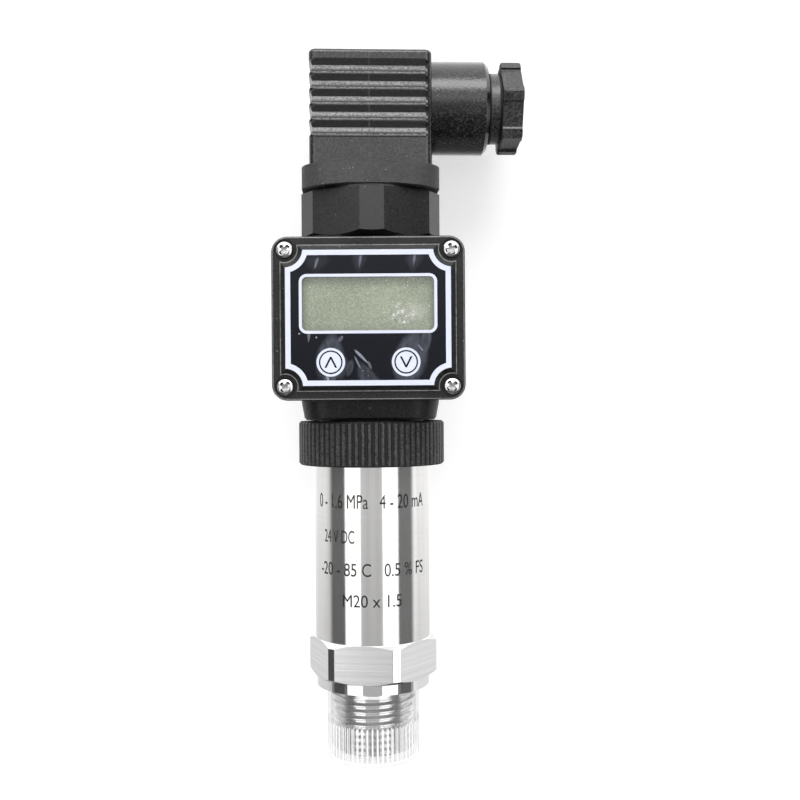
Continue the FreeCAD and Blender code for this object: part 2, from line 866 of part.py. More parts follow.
def make_lid_screws():
    seat = flange_front - screw_counterbore_depth
    screws = []
    for x, y in screw_places():
        head = cylinder(screw_head_diameter, seat, seat + screw_head_height, x, y)
        head = head.makeChamfer(screw_head_edge, edges_at(head, seat + screw_head_height))
        shank = cylinder(screw_shank_diameter, seat - screw_length, seat, x, y)
        low, high = seat + screw_head_height / 3, seat + screw_head_height
        cross = [
            block(screw_slot_length, screw_slot_width, low, high, x, y),
            block(screw_slot_width, screw_slot_length, low, high, x, y),
        ]
        screws.append(on_front(head.fuse(shank).cut(cross)))
    return group(screws)


def make_overlay_film():
    margin = platform_bevel + film_margin
    return on_front(raised(
        notched_plan(platform_margin + margin, platform_arc(margin)),
        platform_front, film_front,
    ))


# ------------------------------------------------- display, board, keys
glass_width = window_width + 2 * lcd_overlap
glass_height = window_height + 2 * lcd_overlap
glass_back = pocket_floor - lcd_thickness
frame_width = glass_width + 2 * lcd_frame_wall
frame_height = glass_height + 2 * lcd_frame_wall
zebra_rise = window_rise - glass_height / 2 + lcd_frame_lip + zebra_width / 2


def make_lcd_glass():
    return on_front(block(glass_width, glass_height, glass_back, pocket_floor), rise=window_rise)


def make_zebra_strip():
    length = glass_width - 2 * lcd_frame_lip
    return on_front(block(length, zebra_width, board_front, glass_back), rise=zebra_rise)


def make_lcd_frame():
    body = block(frame_width, frame_height, board_front, pocket_floor - slip_clearance)
    pocket = block(
        glass_width + 2 * running_clearance, glass_height + 2 * running_clearance,
        glass_back, pocket_floor,
    )
    body = on_front(body.cut(pocket), rise=window_rise)
    slot = block(
        glass_width - 2 * lcd_frame_lip + 2 * running_clearance,
        zebra_width + 2 * running_clearance, board_front, glass_back,
    )
    return body.cut(on_front(slot, rise=zebra_rise))


def make_display_board():
    margin = box_wall + gasket_section + slip_clearance
    plan = notched_plan(margin, screw_inset + margin)
    return on_front(raised(plan, board_back, board_front))


def make_switch_cases():
    top = board_front + key_switch_height
    cases = []
    for x in key_places().values():
        case = block(key_switch_side, key_switch_side, board_front, top, x, -key_drop)
        case = case.cut(cylinder(key_switch_bore, top - key_switch_well, top, x, -key_drop))
        cases.append(on_front(case))
    return group(cases)


def make_key_plunger(name):
    x = key_places()[name]
    top = board_front + key_switch_height
    rest = top + key_travel + running_clearance
    stem = cylinder(
        key_plunger_diameter, top - key_switch_well + key_travel + running_clearance,
        platform_front - running_clearance, x, -key_drop,
    )
    flange = cylinder(key_flange_diameter, rest, rest + key_flange_thickness, x, -key_drop)
    return on_front(stem.fuse(flange))


# -------------------------------------------------------- connector base
def contact_places():
    """The four blades by name: turn about Z in degrees from the +X blade."""
    return {"line_contact_1": 0, "line_contact_2": 180, "line_contact_3": 90, "earth_contact": 270}


def at_contact(shape, turn):
    """Moves a piece drawn on the axis out to its place on the contact circle."""
    placed = shape.copy()
    placed.translate(Vector(contact_circle / 2, 0, 0))
    placed.rotate(ORIGIN, UP, turn)
    return with_plug(placed)


def make_contact(turn):
    low = base_top - base_web - contact_tail
    return at_contact(block(contact_thickness, contact_width, low, disc_top + contact_reach), turn)


def make_connector_base():
    hexagon = raised(cut_hexagon(base_across_flats, base_corner_cut), barrel_top, base_top)
    flat = base_across_flats / 2 - base_chamfer / 4
    corner = base_corner_cut / 2 + base_chamfer / 4
    envelope = turned([
        (0, barrel_top),
        (flat, barrel_top),
        (corner, barrel_top + base_chamfer),
        (corner, base_top),
        (0, base_top),
    ])
    body = hexagon.common(envelope)
    body = body.fuse([
        cylinder(base_thread, barrel_top - base_spigot_length, barrel_top),
        cylinder(base_disc_diameter, base_top, disc_top),
    ]).removeSplitter()
    insert_floor = disc_top - insert_length
    body = body.cut([
        cylinder(base_bore, barrel_top - base_spigot_length, base_top - base_web),
        cylinder(insert_diameter, insert_floor, disc_top),
    ])
    body = with_plug(body)
    for turn in contact_places().values():
        body = body.cut(make_contact(turn))
    return body


def make_base_insert():
    low = disc_top - insert_length
    outer = cylinder(insert_diameter, low, disc_top)
    return outer.cut(cylinder(plug_screw_diameter, low, disc_top))


def make_base_o_ring():
    centre = base_thread + base_ring_section
    return o_ring(centre, base_ring_section, barrel_top - base_ring_section / 2)


def make_profile_gasket():
    """A cup whose lower edge arches from corner to corner over the base."""
    cup = raised(
        rounded_rectangle(profile_side, profile_side, profile_corner_radius),
        disc_top, web_top + profile_rim,
    )
    nest_side = plug_side + 2 * running_clearance
    nest = raised(
        rounded_rectangle(nest_side, nest_side, plug_corner_radius + running_clearance),
        web_top, web_top + profile_rim,
    )
    opening_side = block_side + 2 * slip_clearance
    opening = raised(
        rounded_rectangle(opening_side, opening_side, plug_corner_radius), disc_top, web_top,
    )
    lips = raised(
        rounded_rectangle(profile_side, profile_side, profile_corner_radius),
        disc_top - profile_lip, disc_top,
    )
    lips = lips.cut(cylinder(
        base_corner_cut + 2 * slip_clearance, disc_top - profile_lip, disc_top,
    ))
    half_side = profile_side / 2
    reach_squared = (base_corner_cut / 2 + slip_clearance) ** 2 - half_side ** 2
    drop = (half_side ** 2 - reach_squared + profile_lip ** 2 - profile_lip_end ** 2)
    drop = drop / (2 * (profile_lip - profile_lip_end))
    radius = math.hypot(half_side, drop - profile_lip)
    for direction in (Vector(1, 0, 0), Vector(0, 1, 0)):
        start = Vector(0, 0, disc_top - drop) - direction * profile_side
        lips = lips.cut(Part.makeCylinder(radius, 2 * profile_side, start, direction))
    return with_plug(cup.fuse(lips).cut([nest, opening]).removeSplitter())


# ----------------------------------------------------------- cable plug
seal_start = gland_shank_end - gland_washer_thickness - gland_seal_length
screw_head_top = plug_top - plug_screw_sink
screw_head_seat = screw_head_top - plug_screw_head_height
screw_seal_seat = screw_head_seat - plug_screw_seal
block_foot = disc_top
block_top = block_foot + block_height


def make_flutes():
    """Round-bottomed bars that cut the flutes around three sides of the plug."""
    radius = (flute_width ** 2 / 4 + flute_depth ** 2) / (2 * flute_depth)
    offset = plug_side / 2 + radius - flute_depth
    bars = []
    for index in range(flute_count):
        height = plug_top - flute_top_drop - index * flute_pitch
        length = plug_side - flute_end_margin
        for side in (-1, 1):
            start = Vector(-plug_side / 2, side * offset, height)
            bars.append(Part.makeCylinder(radius, length, start, ACROSS))
        start = Vector(-offset, -plug_side / 2, height)
        bars.append(Part.makeCylinder(radius, plug_side, start, Vector(0, 1, 0)))
    return bars


def make_plug_housing():
    body = raised(
        rounded_rectangle(plug_side, plug_side, plug_corner_radius), plug_foot, plug_top,
    )
    body = body.makeFillet(plug_top_fillet, edges_at(body, plug_top))
    body = body.cut(make_flutes())
    barrel = bar(gland_barrel_diameter, plug_side / 2 - plug_wall, gland_barrel_end, gland_axis)
    end_edges = [edge for edge in barrel.Edges if edge.BoundBox.XMin > gland_barrel_end - 1e-4]
    barrel = barrel.makeChamfer(gland_barrel_chamfer, end_edges)
    body = body.fuse(barrel)
    inner_side = plug_side - 2 * plug_wall
    hollow = raised(
        rounded_rectangle(inner_side, inner_side, plug_corner_radius),
        plug_foot, plug_top - plug_roof,
    )
    thread_start = gland_barrel_end - gland_thread_depth
    return with_plug(body.cut([
        hollow,
        bar(gland_throat_diameter, 0, gland_barrel_end, gland_axis),
        bar(gland_seal_diameter, seal_start, gland_barrel_end, gland_axis),
        bar(gland_thread_diameter + 2 * running_clearance, thread_start, gland_barrel_end,
            gland_axis),
        cylinder(plug_screw_diameter + 2 * slip_clearance, plug_foot, plug_top),
        cylinder(plug_screw_head + 2 * slip_clearance, screw_seal_seat, plug_top),
    ]))


def make_contact_block():
    body = raised(
        rounded_rectangle(block_side, block_side, plug_corner_radius), block_foot, block_top,
    )
    body = body.cut(cylinder(plug_screw_diameter + 2 * slip_clearance, block_foot, block_top))
    body = with_plug(body)
    for turn in contact_places().values():
        body = body.cut([
            at_contact(sleeve_outline(), turn),
            at_contact(terminal_screw_outline(), turn),
        ])
    return body


sleeve_depth = contact_thickness + 2 * sleeve_wall
sleeve_width = contact_width + 2 * sleeve_wall
sleeve_top = block_foot + sleeve_height
terminal_top = sleeve_top + terminal_screw_length


def sleeve_outline():
    return block(sleeve_depth, sleeve_width, block_foot, sleeve_top)


def terminal_screw_outline():
    return cylinder(terminal_screw_head, sleeve_top, block_top)


def make_contact_sleeve(turn):
    slot = block(
        contact_thickness + 2 * running_clearance, contact_width + 2 * running_clearance,
        block_foot, disc_top + contact_reach + running_clearance,
    )
    hole = cylinder(terminal_screw_diameter, sleeve_top - sleeve_wall / 2, sleeve_top)
    return at_contact(sleeve_outline().cut([slot, hole]), turn)


def make_terminal_screws():
    screws = []
    for turn in contact_places().values():
        shank = cylinder(terminal_screw_diameter, sleeve_top - sleeve_wall / 2, terminal_top)
        head = cylinder(terminal_screw_head, terminal_top - 2.0, terminal_top)
        slot = block(0.6, terminal_screw_head, terminal_top - 0.8, terminal_top)
        screws.append(at_contact(shank.fuse(head).cut(slot), turn))
    return group(screws)


def make_plug_screw():
    tip = disc_top - insert_length + 1.0
    shank = cylinder(plug_screw_diameter, tip, screw_head_seat)
    head = cylinder(plug_screw_head, screw_head_seat, screw_head_top)
    slot = block(
        plug_screw_head, plug_screw_slot,
        screw_head_top - plug_screw_head_height / 2, screw_head_top,
    )
    return with_plug(shank.fuse(head).cut(slot))


def make_plug_screw_seal():
    outer = cylinder(plug_screw_head, screw_seal_seat, screw_head_seat)
    return outer.cut(cylinder(plug_screw_diameter, screw_seal_seat, screw_head_seat))


# ---------------------------------------------------------- cable gland
def make_gland_seal():
    end = seal_start + gland_seal_length
    outer = bar(gland_seal_diameter, seal_start, end, gland_axis)
    return with_plug(outer.cut(bar(gland_seal_bore, seal_start, end, gland_axis)))


def make_gland_washer():
    start = seal_start + gland_seal_length
    diameter = gland_seal_diameter - 2 * running_clearance
    outer = bar(diameter, start, gland_shank_end, gland_axis)
    return with_plug(outer.cut(bar(gland_washer_bore, start, gland_shank_end, gland_axis)))


def make_gland_nut():
    """A hexagon head whose flats are stepped back beside flat corner lands."""
    apothem = gland_nut_flats / 2
    corner = apothem / math.cos(math.radians(30))
    end = gland_head_start + gland_nut_head
    points = [
        Vector(corner * math.cos(math.radians(60 * i)), corner * math.sin(math.radians(60 * i)), 0)
        for i in range(7)
    ]
    head = raised(Part.Face(Part.makePolygon(points)), 0, gland_nut_head)
    side = corner - 2 * gland_nut_land
    for index in range(6):
        step = block(gland_nut_step, side, 0, gland_nut_head)
        step.translate(Vector(apothem - gland_nut_step / 2, 0, 0))
        step.rotate(ORIGIN, UP, 30 + 60 * index)
        head = head.cut(step)
    head = head.common(turned([
        (0, 0),
        (corner - gland_nut_mouth, 0),
        (corner, gland_nut_mouth),
        (corner, gland_nut_head - gland_nut_mouth),
        (corner - gland_nut_mouth, gland_nut_head),
        (0, gland_nut_head),
    ]))
    head.rotate(ORIGIN, UP, gland_nut_turn)
    head.rotate(ORIGIN, Vector(0, 1, 0), 90)
    head.translate(Vector(gland_head_start, 0, gland_axis))
    shank = bar(gland_thread_diameter, gland_shank_end, gland_head_start, gland_axis)
    groove_diameter = gland_thread_diameter - 2 * gland_nut_groove_depth
    for start in (gland_barrel_end, gland_head_start - gland_nut_groove_width):
        groove_end = start + gland_nut_groove_width
        ring = bar(gland_thread_diameter, start, groove_end, gland_axis)
        shank = shank.cut(ring.cut(bar(groove_diameter, start, groove_end, gland_axis)))
    bore = bar(gland_nut_bore, gland_shank_end, end, gland_axis)
    return with_plug(head.fuse(shank).cut(bore))


# ----------------------------------------------------------- thread cap
def make_thread_cap():
    crest = cap_diameter / 2
    bottom = -(thread_length + cap_end_gap + cap_floor)
    rim = seal_recess_depth - running_clearance
    ribs = knurled_outline(crest, cap_rib_count, cap_rib_depth, 0.5)
    grip = raised(ribs, bottom, bottom + cap_ribbed_length)
    grip = grip.common(turned([
        (0, bottom),
        (crest - cap_edge_radius, bottom),
        (crest, bottom + cap_edge_radius),
        (crest, rim),
        (0, rim),
    ]))
    sleeve = cylinder(cap_diameter, bottom + cap_ribbed_length, rim)
    hollow = cylinder(cap_diameter - 2 * cap_wall, bottom + cap_floor, rim)
    return grip.fuse(sleeve).cut(hollow)


# ---------------------------------------------------------------- output
nodes = {
    "process_connection": make_process_connection(),
    "housing_tube": make_housing_tube(),
    "sensor_cell": make_sensor_cell(),
    "sensor_o_ring": make_sensor_o_ring(),
    "sensor_lock_ring": make_sensor_lock_ring(),
    "signal_board": make_signal_board(),
    "trimmers": make_trimmers(),
    "amplifier_chip": make_amplifier_chip(),
    "board_carrier": make_board_carrier(),
    "union_nut": make_union_nut(),
    "neck_circlip": make_neck_circlip(),
    "neck_o_ring": make_neck_o_ring(),
    "display_housing": make_display_housing(),
    "display_lid": make_display_lid(),
    "lid_gasket": make_lid_gasket(),
    "lid_screws": make_lid_screws(),
    "overlay_film": make_overlay_film(),
    "lcd_glass": make_lcd_glass(),
    "lcd_frame": make_lcd_frame(),
    "zebra_strip": make_zebra_strip(),
    "display_board": make_display_board(),
    "switch_cases": make_switch_cases(),
    "up_key_plunger": make_key_plunger("up"),
    "down_key_plunger": make_key_plunger("down"),
    "connector_base": make_connector_base(),
    "base_insert": make_base_insert(),
    "base_o_ring": make_base_o_ring(),
    "profile_gasket": make_profile_gasket(),
    "plug_housing": make_plug_housing(),
    "contact_block": make_contact_block(),
    "terminal_screws": make_terminal_screws(),
    "plug_screw": make_plug_screw(),
    "plug_screw_seal": make_plug_screw_seal(),
    "gland_seal": make_gland_seal(),
    "gland_washer": make_gland_washer(),
    "gland_nut": make_gland_nut(),
    "thread_cap": make_thread_cap(),
}
for name, turn in contact_places().items():
    nodes[name] = make_contact(turn)
    nodes[name.replace("contact", "sleeve")] = make_contact_sleeve(turn)

os.makedirs("parts", exist_ok=True)
for name, shape in nodes.items():
    shape.exportStep("parts/" + name + ".step")
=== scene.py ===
import math

import bmesh
import bpy
from mathutils import Matrix, Vector


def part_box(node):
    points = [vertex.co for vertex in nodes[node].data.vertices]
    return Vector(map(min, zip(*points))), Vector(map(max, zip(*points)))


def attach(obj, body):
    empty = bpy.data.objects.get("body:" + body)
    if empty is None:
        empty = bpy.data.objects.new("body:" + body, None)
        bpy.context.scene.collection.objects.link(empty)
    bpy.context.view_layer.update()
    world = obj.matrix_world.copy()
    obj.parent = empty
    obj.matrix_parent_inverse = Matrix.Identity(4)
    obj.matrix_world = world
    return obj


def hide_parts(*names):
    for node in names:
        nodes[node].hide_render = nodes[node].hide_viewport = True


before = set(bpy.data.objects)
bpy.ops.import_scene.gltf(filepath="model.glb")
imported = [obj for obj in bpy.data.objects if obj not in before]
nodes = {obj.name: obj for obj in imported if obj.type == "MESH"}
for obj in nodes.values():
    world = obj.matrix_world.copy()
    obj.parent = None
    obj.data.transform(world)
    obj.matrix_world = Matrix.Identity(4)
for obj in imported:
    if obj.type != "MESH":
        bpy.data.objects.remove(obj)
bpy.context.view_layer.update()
mm = 0.001
weld = 1e-7  # points this near are one point
print("frame loaded")


# sockets with arithmetic, and one way to add a node
class Sock:
    def __init__(self, paint, out):
        self.paint = paint
        self.out = out

    def __add__(self, other):
        return self.paint.maths("ADD", self, other)

    __radd__ = __add__

    def __sub__(self, other):
        return self.paint.maths("SUBTRACT", self, other)

    def __rsub__(self, other):
        return self.paint.maths("SUBTRACT", other, self)

    def __mul__(self, other):
        return self.paint.maths("MULTIPLY", self, other)

    __rmul__ = __mul__

    def __truediv__(self, other):
        return self.paint.maths("DIVIDE", self, other)

    def __lt__(self, other):
        return self.paint.maths("LESS_THAN", self, other)

    def __gt__(self, other):
        return self.paint.maths("GREATER_THAN", self, other)

    def __abs__(self):
        return self.paint.maths("ABSOLUTE", self)


class Paint:
    def __init__(self, name, tree=None):
        if tree is None:
            self.material = bpy.data.materials.new(name)
            self.material.use_nodes = True
            tree = self.material.node_tree
        self.tree = tree
        tree.nodes.clear()

    def node(self, kind, settings=None, inputs=None):
        made = self.tree.nodes.new(kind)
        for key, value in (settings or {}).items():
            if key == "stops":
                ramp = made.color_ramp
                while len(ramp.elements) < len(value):
                    ramp.elements.new(0.5)
                for element, (place, colour) in zip(ramp.elements, value):
                    element.position = place
                    element.color = colour
            else:
                setattr(made, key, value)
        for key, value in (inputs or {}).items():
            if isinstance(value, Sock):
                self.tree.links.new(value.out, made.inputs[key])
            else:
                made.inputs[key].default_value = value
        return made

    def sock(self, kind, settings=None, inputs=None, out=0):
        return Sock(self, self.node(kind, settings, inputs).outputs[out])

    def maths(self, operation, *values):
        return self.sock("ShaderNodeMath", {"operation": operation}, dict(enumerate(values)))

    def larger(self, first, second):
        return self.maths("MAXIMUM", first, second)

    def smaller(self, first, second):
        return self.maths("MINIMUM", first, second)

    def distance(self, across, up):
        return self.maths("SQRT", across * across + up * up)

    def clamp(self, value):
        return self.sock("ShaderNodeClamp", None, {"Value": value})

    def coords(self, turn=(0, 0, 0), scale=(1, 1, 1), move=(0, 0, 0)):
        objectCoords = self.sock("ShaderNodeTexCoord", out="Object")
        return self.sock("ShaderNodeMapping", None, {
            "Vector": objectCoords, "Location": move, "Rotation": turn, "Scale": scale,
        })

    def axes(self):
        split = self.node("ShaderNodeSeparateXYZ", None, {"Vector": self.coords()})
        return [Sock(self, split.outputs[i]) for i in range(3)]

    def noise(self, scale, detail=2.0, where=None, roughness=0.5):
        return self.sock("ShaderNodeTexNoise", None, {
            "Vector": where or self.coords(), "Scale": scale, "Detail": detail,
            "Roughness": roughness,
        })

    def specks(self, scale, size, share):  # round dots in a share of the cells
        cells = self.node("ShaderNodeTexVoronoi", None, {"Vector": self.coords(), "Scale": scale})
        colour = Sock(self, cells.outputs["Color"])
        pick = self.sock("ShaderNodeSeparateColor", None, {"Color": colour})
        return (Sock(self, cells.outputs["Distance"]) < size) * (pick > 1 - share)

    def mixColour(self, factor, first, second):
        return self.sock("ShaderNodeMix", {"data_type": "RGBA"}, {0: factor, 6: first, 7: second}, out=2)

    def mixShader(self, factor, first, second):
        return self.sock("ShaderNodeMixShader", None, {0: factor, 1: first, 2: second})

    def bump(self, height, distance, normal=None):
        inputs = {"Height": height, "Distance": distance, "Strength": 1.0}
        if normal is not None:
            inputs["Normal"] = normal
        return self.sock("ShaderNodeBump", None, inputs)

    def surface(self, **inputs):
        names = {
            "colour": "Base Color", "roughness": "Roughness", "metallic": "Metallic",
            "normal": "Normal", "alpha": "Alpha", "specular": "Specular IOR Level",
            "glow": "Emission Color", "glowStrength": "Emission Strength",
        }
        given = {names[key]: value for key, value in inputs.items()}
        return self.sock("ShaderNodeBsdfPrincipled", None, given)

    def finish(self, shader, kind="ShaderNodeOutputMaterial"):
        self.node(kind, None, {"Surface": shader})
        return getattr(self, "material", None)


def grey(value, warm=0.0):
    return (value * (1 + warm), value, value * (1 - warm), 1)


def dress(material, *names):
    for name in names:
        slots = nodes[name].material_slots
        for slot in slots:
            slot.material = material
        if not slots:
            nodes[name].data.materials.append(material)


def centre(box):
    return [(a + b) / 2 for a, b in zip(*box)]


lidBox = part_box("display_lid")
lidCentre = centre(lidBox)
screwSpot = (18.25 * mm, 15.0 * mm)  # each lid screw's place, across and up from the lid's centre


# moulded plastics and rubber
def roundedBand(paint, x, z, size, corner):  # signed distance to a rounded rectangle
    dx = abs(x) - (size[0] / 2 - corner)
    dz = abs(z) - (size[1] / 2 - corner)
    outside = paint.distance(paint.larger(dx, 0.0), paint.larger(dz, 0.0))
    inside = paint.smaller(paint.larger(dx, dz), 0.0)
    return outside + inside - corner


def toNearestScrew(paint, x, up):
    return paint.distance(abs(x) - screwSpot[0], abs(up) - screwSpot[1])


def rubbedEdges(paint, look):  # the lid's outer edge and its platform's edge painted paler: painted highlight, with some rubbing
    x, y, z = paint.axes()
    up = z - lidCentre[2]
    outer = roundedBand(paint, x, up, look["outer"][:2], look["outer"][2])
    outerLine = paint.clamp(1 - abs(outer + look["outerLine"]) / look["width"])
    step = paint.larger(abs(x) - look["platform"][0] / 2, abs(up) - look["platform"][1] / 2)
    step = paint.larger(step, look["arc"] - toNearestScrew(paint, x, up))
    bead = paint.clamp(1 - abs(step + look["bead"]) / look["width"]) * (y < look["foot"])
    return paint.larger(outerLine, bead)


def fluteDepth(paint, height, pitch, flute):  # a round-bottomed flute's depth across it
    width, depth = flute
    radius = (width ** 2 / 4 + depth ** 2) / (2 * depth)
    across = paint.maths("WRAP", height, pitch / 2, -pitch / 2)
    root = paint.maths("SQRT", paint.larger(radius ** 2 - across * across, 0.0))
    return paint.larger(root - (radius - depth), 0.0)


# each flute's slope down is darkened with painted shade, its short slope back carries a painted
# highlight, and the land's edge a pale line: painted highlight with some rubbing
def flutedShade(paint, flutes, grain, colour, rough, normal):
    x, y, z = paint.axes()
    pitch, top, fall, rise = (flutes[key] for key in ("pitch", "top", "fall", "rise"))
    foot = top - pitch * flutes["count"] - flutes["below"]
    fluted = (z < top) * (z > foot) * (abs(x) < flutes["end"])
    down = paint.maths("WRAP", top - z, pitch, 0.0)
    wanted = paint.smaller(down / fall, (fall + rise - down) / rise)
    wanted = paint.larger(wanted, 0.0) * flutes["depth"]
    real = fluteDepth(paint, z - flutes["centre"], pitch, flutes["real"])
    # painted highlight on each flute's short slope back and at the land's edge
    lit = paint.clamp(flutes["litSoft"] - abs(down - fall - rise / 2) / (rise * flutes["litHalf"]))
    edge = paint.clamp(flutes["edgeSoft"] - abs(down - flutes["edge"]) / flutes["edgeHalf"])
    speckle = paint.clamp(grain * flutes["speckGain"] - flutes["speckFloor"]) * fluted
    pale = paint.larger(lit * flutes["litShare"], edge) * speckle * flutes["highlightAndWear"]
    # painted shade on each flute's slope down
    shade = (down < fall) * fluted * flutes["shade"]
    colour = paint.mixColour(shade, colour, flutes["shadeColour"])
    colour = paint.mixColour(pale, colour, grey(1.0))
    rough = rough - (x > flutes["end"]) * flutes["barrelShine"]
    normal = paint.bump((real - wanted) * fluted, 1.0, normal)
    seam = paint.clamp(1 - abs(x - flutes["seam"]) / flutes["seamHalf"]) * (y < 0)
    return colour, rough, paint.bump(seam, flutes["seamDepth"], normal)


def landHeight(paint, lands):  # softened edges of the steps beside the gland nut's corners
    x, y, z = paint.axes()
    skew = math.tan(math.radians(lands["plugTurn"]))
    first, half, soft = (math.radians(lands[key]) for key in ("first", "half", "soft"))
    face = max(v.co.x + v.co.y * skew for v in nodes["gland_nut"].data.vertices)
    around = paint.maths("ARCTAN2", z - lands["axis"], x * skew - y)
    phase = paint.maths("WRAP", around - first, math.radians(30), math.radians(-30))
    land = paint.clamp((abs(phase) - half) / soft + 1)
    return land * (x > lands["start"]) * (x + y * skew < face - lands["clear"])


def mouldedPlastic(name, look):
    paint = Paint(name)
    grain = paint.noise(look["grainScale"], 3.0, None, 0.65)
    cloud = paint.noise(look["cloudScale"], 2.0)
    dust = paint.specks(look["dustScale"], look["dustSize"], look["dustShare"])
    tint = paint.clamp(cloud * look["cloudTint"] + (grain - 0.5) * look["grainTint"] + look["tintShift"])
    colour = paint.mixColour(tint, look["dark"], look["light"])
    colour = paint.mixColour(dust * look["dustStrength"], colour, look["dust"])
    if "edges" in look:
        edges = look["edges"]
        patchy = cloud * edges["cloudShare"] + (grain - 0.5) * edges["grainShare"] + edges["shift"]
        # painted highlight, with some rubbing, along the lid's edges
        highlightAndWear = rubbedEdges(paint, edges) * paint.clamp(patchy) * edges["strength"]
        colour = paint.mixColour(highlightAndWear, colour, grey(1.0))
    rough = look["roughness"] + (grain - 0.5) * look["roughSpread"]
    if "grooves" in look:  # painted shade in the grip grooves, which are duller too
        x, y, z = paint.axes()
        grooves = look["grooves"]
        deep = paint.clamp((grooves["radius"] - paint.distance(x, y)) / grooves["fade"])
        colour = paint.mixColour(deep, colour, grey(0.0))
        rough = rough + deep * grooves["dull"]
    if "crevice" in look:  # painted shade beside the barrel's end and under the nut's head
        x, y, z = paint.axes()
        crevice = look["crevice"]
        away = paint.smaller(abs(x - crevice["barrel"]), abs(x - crevice["head"]))
        near = paint.clamp(1 - away / crevice["reach"])
        colour = paint.mixColour(near * crevice["paintedShade"], colour, grey(0.0))
        rough = rough + near * crevice["dull"]
    normal = paint.bump(grain, look["grainDepth"])
    if "flutes" in look:
        colour, rough, normal = flutedShade(paint, look["flutes"], grain, colour, rough, normal)
    if "lands" in look:
        normal = paint.bump(landHeight(paint, look["lands"]), look["lands"]["depth"], normal)
    return paint.finish(paint.surface(
        colour=colour, roughness=rough, normal=normal, specular=look["specular"],
    ))


housingLook = {
    "dark": grey(0.0), "light": grey(0.018), "roughness": 0.40, "roughSpread": 0.25,
    "grainScale": 2000, "grainDepth": 0.035 * mm, "grainTint": 2.5, "tintShift": 0.2,
    "cloudScale": 130, "cloudTint": 0.6, "specular": 0.28,
    "dust": grey(0.35), "dustScale": 1500, "dustSize": 0.2, "dustShare": 0.02, "dustStrength": 0.4,
}
nutLook = dict(
    housingLook, light=grey(0.050), roughness=0.44, grainTint=3.5, specular=0.45,
    grooves={"radius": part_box("union_nut")[1][0] - 0.12 * mm, "fade": 0.35 * mm,
             "dull": 0.4},
)
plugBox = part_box("plug_housing")
plugLook = dict(
    housingLook, light=grey(0.030), roughness=0.22, roughSpread=0.25, grainTint=4.0, tintShift=0.05,
    grainScale=1900, grainDepth=0.05 * mm, dustScale=1700, dustShare=0.03, specular=0.60,
    flutes={
        "top": plugBox[0][2] + 27.10 * mm, "centre": plugBox[0][2] + 25.23 * mm, "pitch": 3.5 * mm,
        "count": 5, "below": 0.3 * mm, "end": 13.1 * mm, "real": (3.2 * mm, 0.75 * mm),
        "fall": 1.50 * mm, "rise": 1.0 * mm, "depth": 0.42 * mm, "edge": 3.06 * mm,
        "edgeHalf": 0.13 * mm, "edgeSoft": 1.4, "litHalf": 0.32, "litSoft": 1.3, "litShare": 0.7,
        "shade": 0.75, "shadeColour": grey(0.002), "speckGain": 4, "speckFloor": 1.35,
        "highlightAndWear": 0.21, "barrelShine": 0.07,
        "seam": 0.3 * mm, "seamHalf": 0.12 * mm, "seamDepth": 0.03 * mm,
    },
)
baseLook = dict(
    housingLook, light=grey(0.016), roughness=0.30, specular=0.58, grainTint=1.2,
    grainDepth=0.02 * mm,
)
glandNutLook = dict(
    plugLook, roughness=0.30, specular=0.62, light=grey(0.050),
    lands={"axis": 136.0 * mm, "plugTurn": 2.8, "start": 31.0 * mm, "clear": 0.02 * mm,
           "first": 37.6, "half": 19.9, "soft": 2.4, "depth": 0.3 * mm},
    crevice={"barrel": plugBox[1][0] + 0.3 * mm, "head": plugBox[1][0] + 2.85 * mm,
              "reach": 0.5 * mm, "paintedShade": 0.9, "dull": 0.5},
)
glandNutLook.pop("flutes")
rubberLook = dict(
    housingLook, dark=grey(0.020), light=grey(0.052), roughness=0.62, roughSpread=0.2,
    grainScale=1700, dustShare=0.07, dustStrength=0.5, specular=0.4,
)
lidLook = dict(
    housingLook, grainDepth=0.045 * mm, dustShare=0.035, dustScale=1300,
    edges={"outer": (42.5 * mm, 36.0 * mm, 3.5 * mm), "platform": (38.7 * mm, 32.2 * mm),
           "arc": 2.70 * mm, "outerLine": 0.30 * mm, "bead": 0.14 * mm, "width": 0.15 * mm,
           "strength": 0.30, "foot": -20.15 * mm, "cloudShare": 1.2, "grainShare": 2, "shift": 0.2},
)
housingPlastic = mouldedPlastic("housingPlastic", housingLook)
lidPlastic = mouldedPlastic("lidPlastic", lidLook)
nutPlastic = mouldedPlastic("nutPlastic", nutLook)
plugPlastic = mouldedPlastic("plugPlastic", plugLook)
basePlastic = mouldedPlastic("basePlastic", baseLook)
glandNutPlastic = mouldedPlastic("glandNutPlastic", glandNutLook)
dustyRubber = mouldedPlastic("dustyRubber", rubberLook)
dress(housingPlastic, "display_housing")
dress(lidPlastic, "display_lid")
dress(nutPlastic, "union_nut")
dress(plugPlastic, "plug_housing")
dress(basePlastic, "connector_base")
dress(glandNutPlastic, "gland_nut")
dress(dustyRubber, "profile_gasket", "gland_seal", "plug_screw_seal", "base_o_ring",
      "neck_o_ring", "lid_gasket", "sensor_o_ring", "zebra_strip")


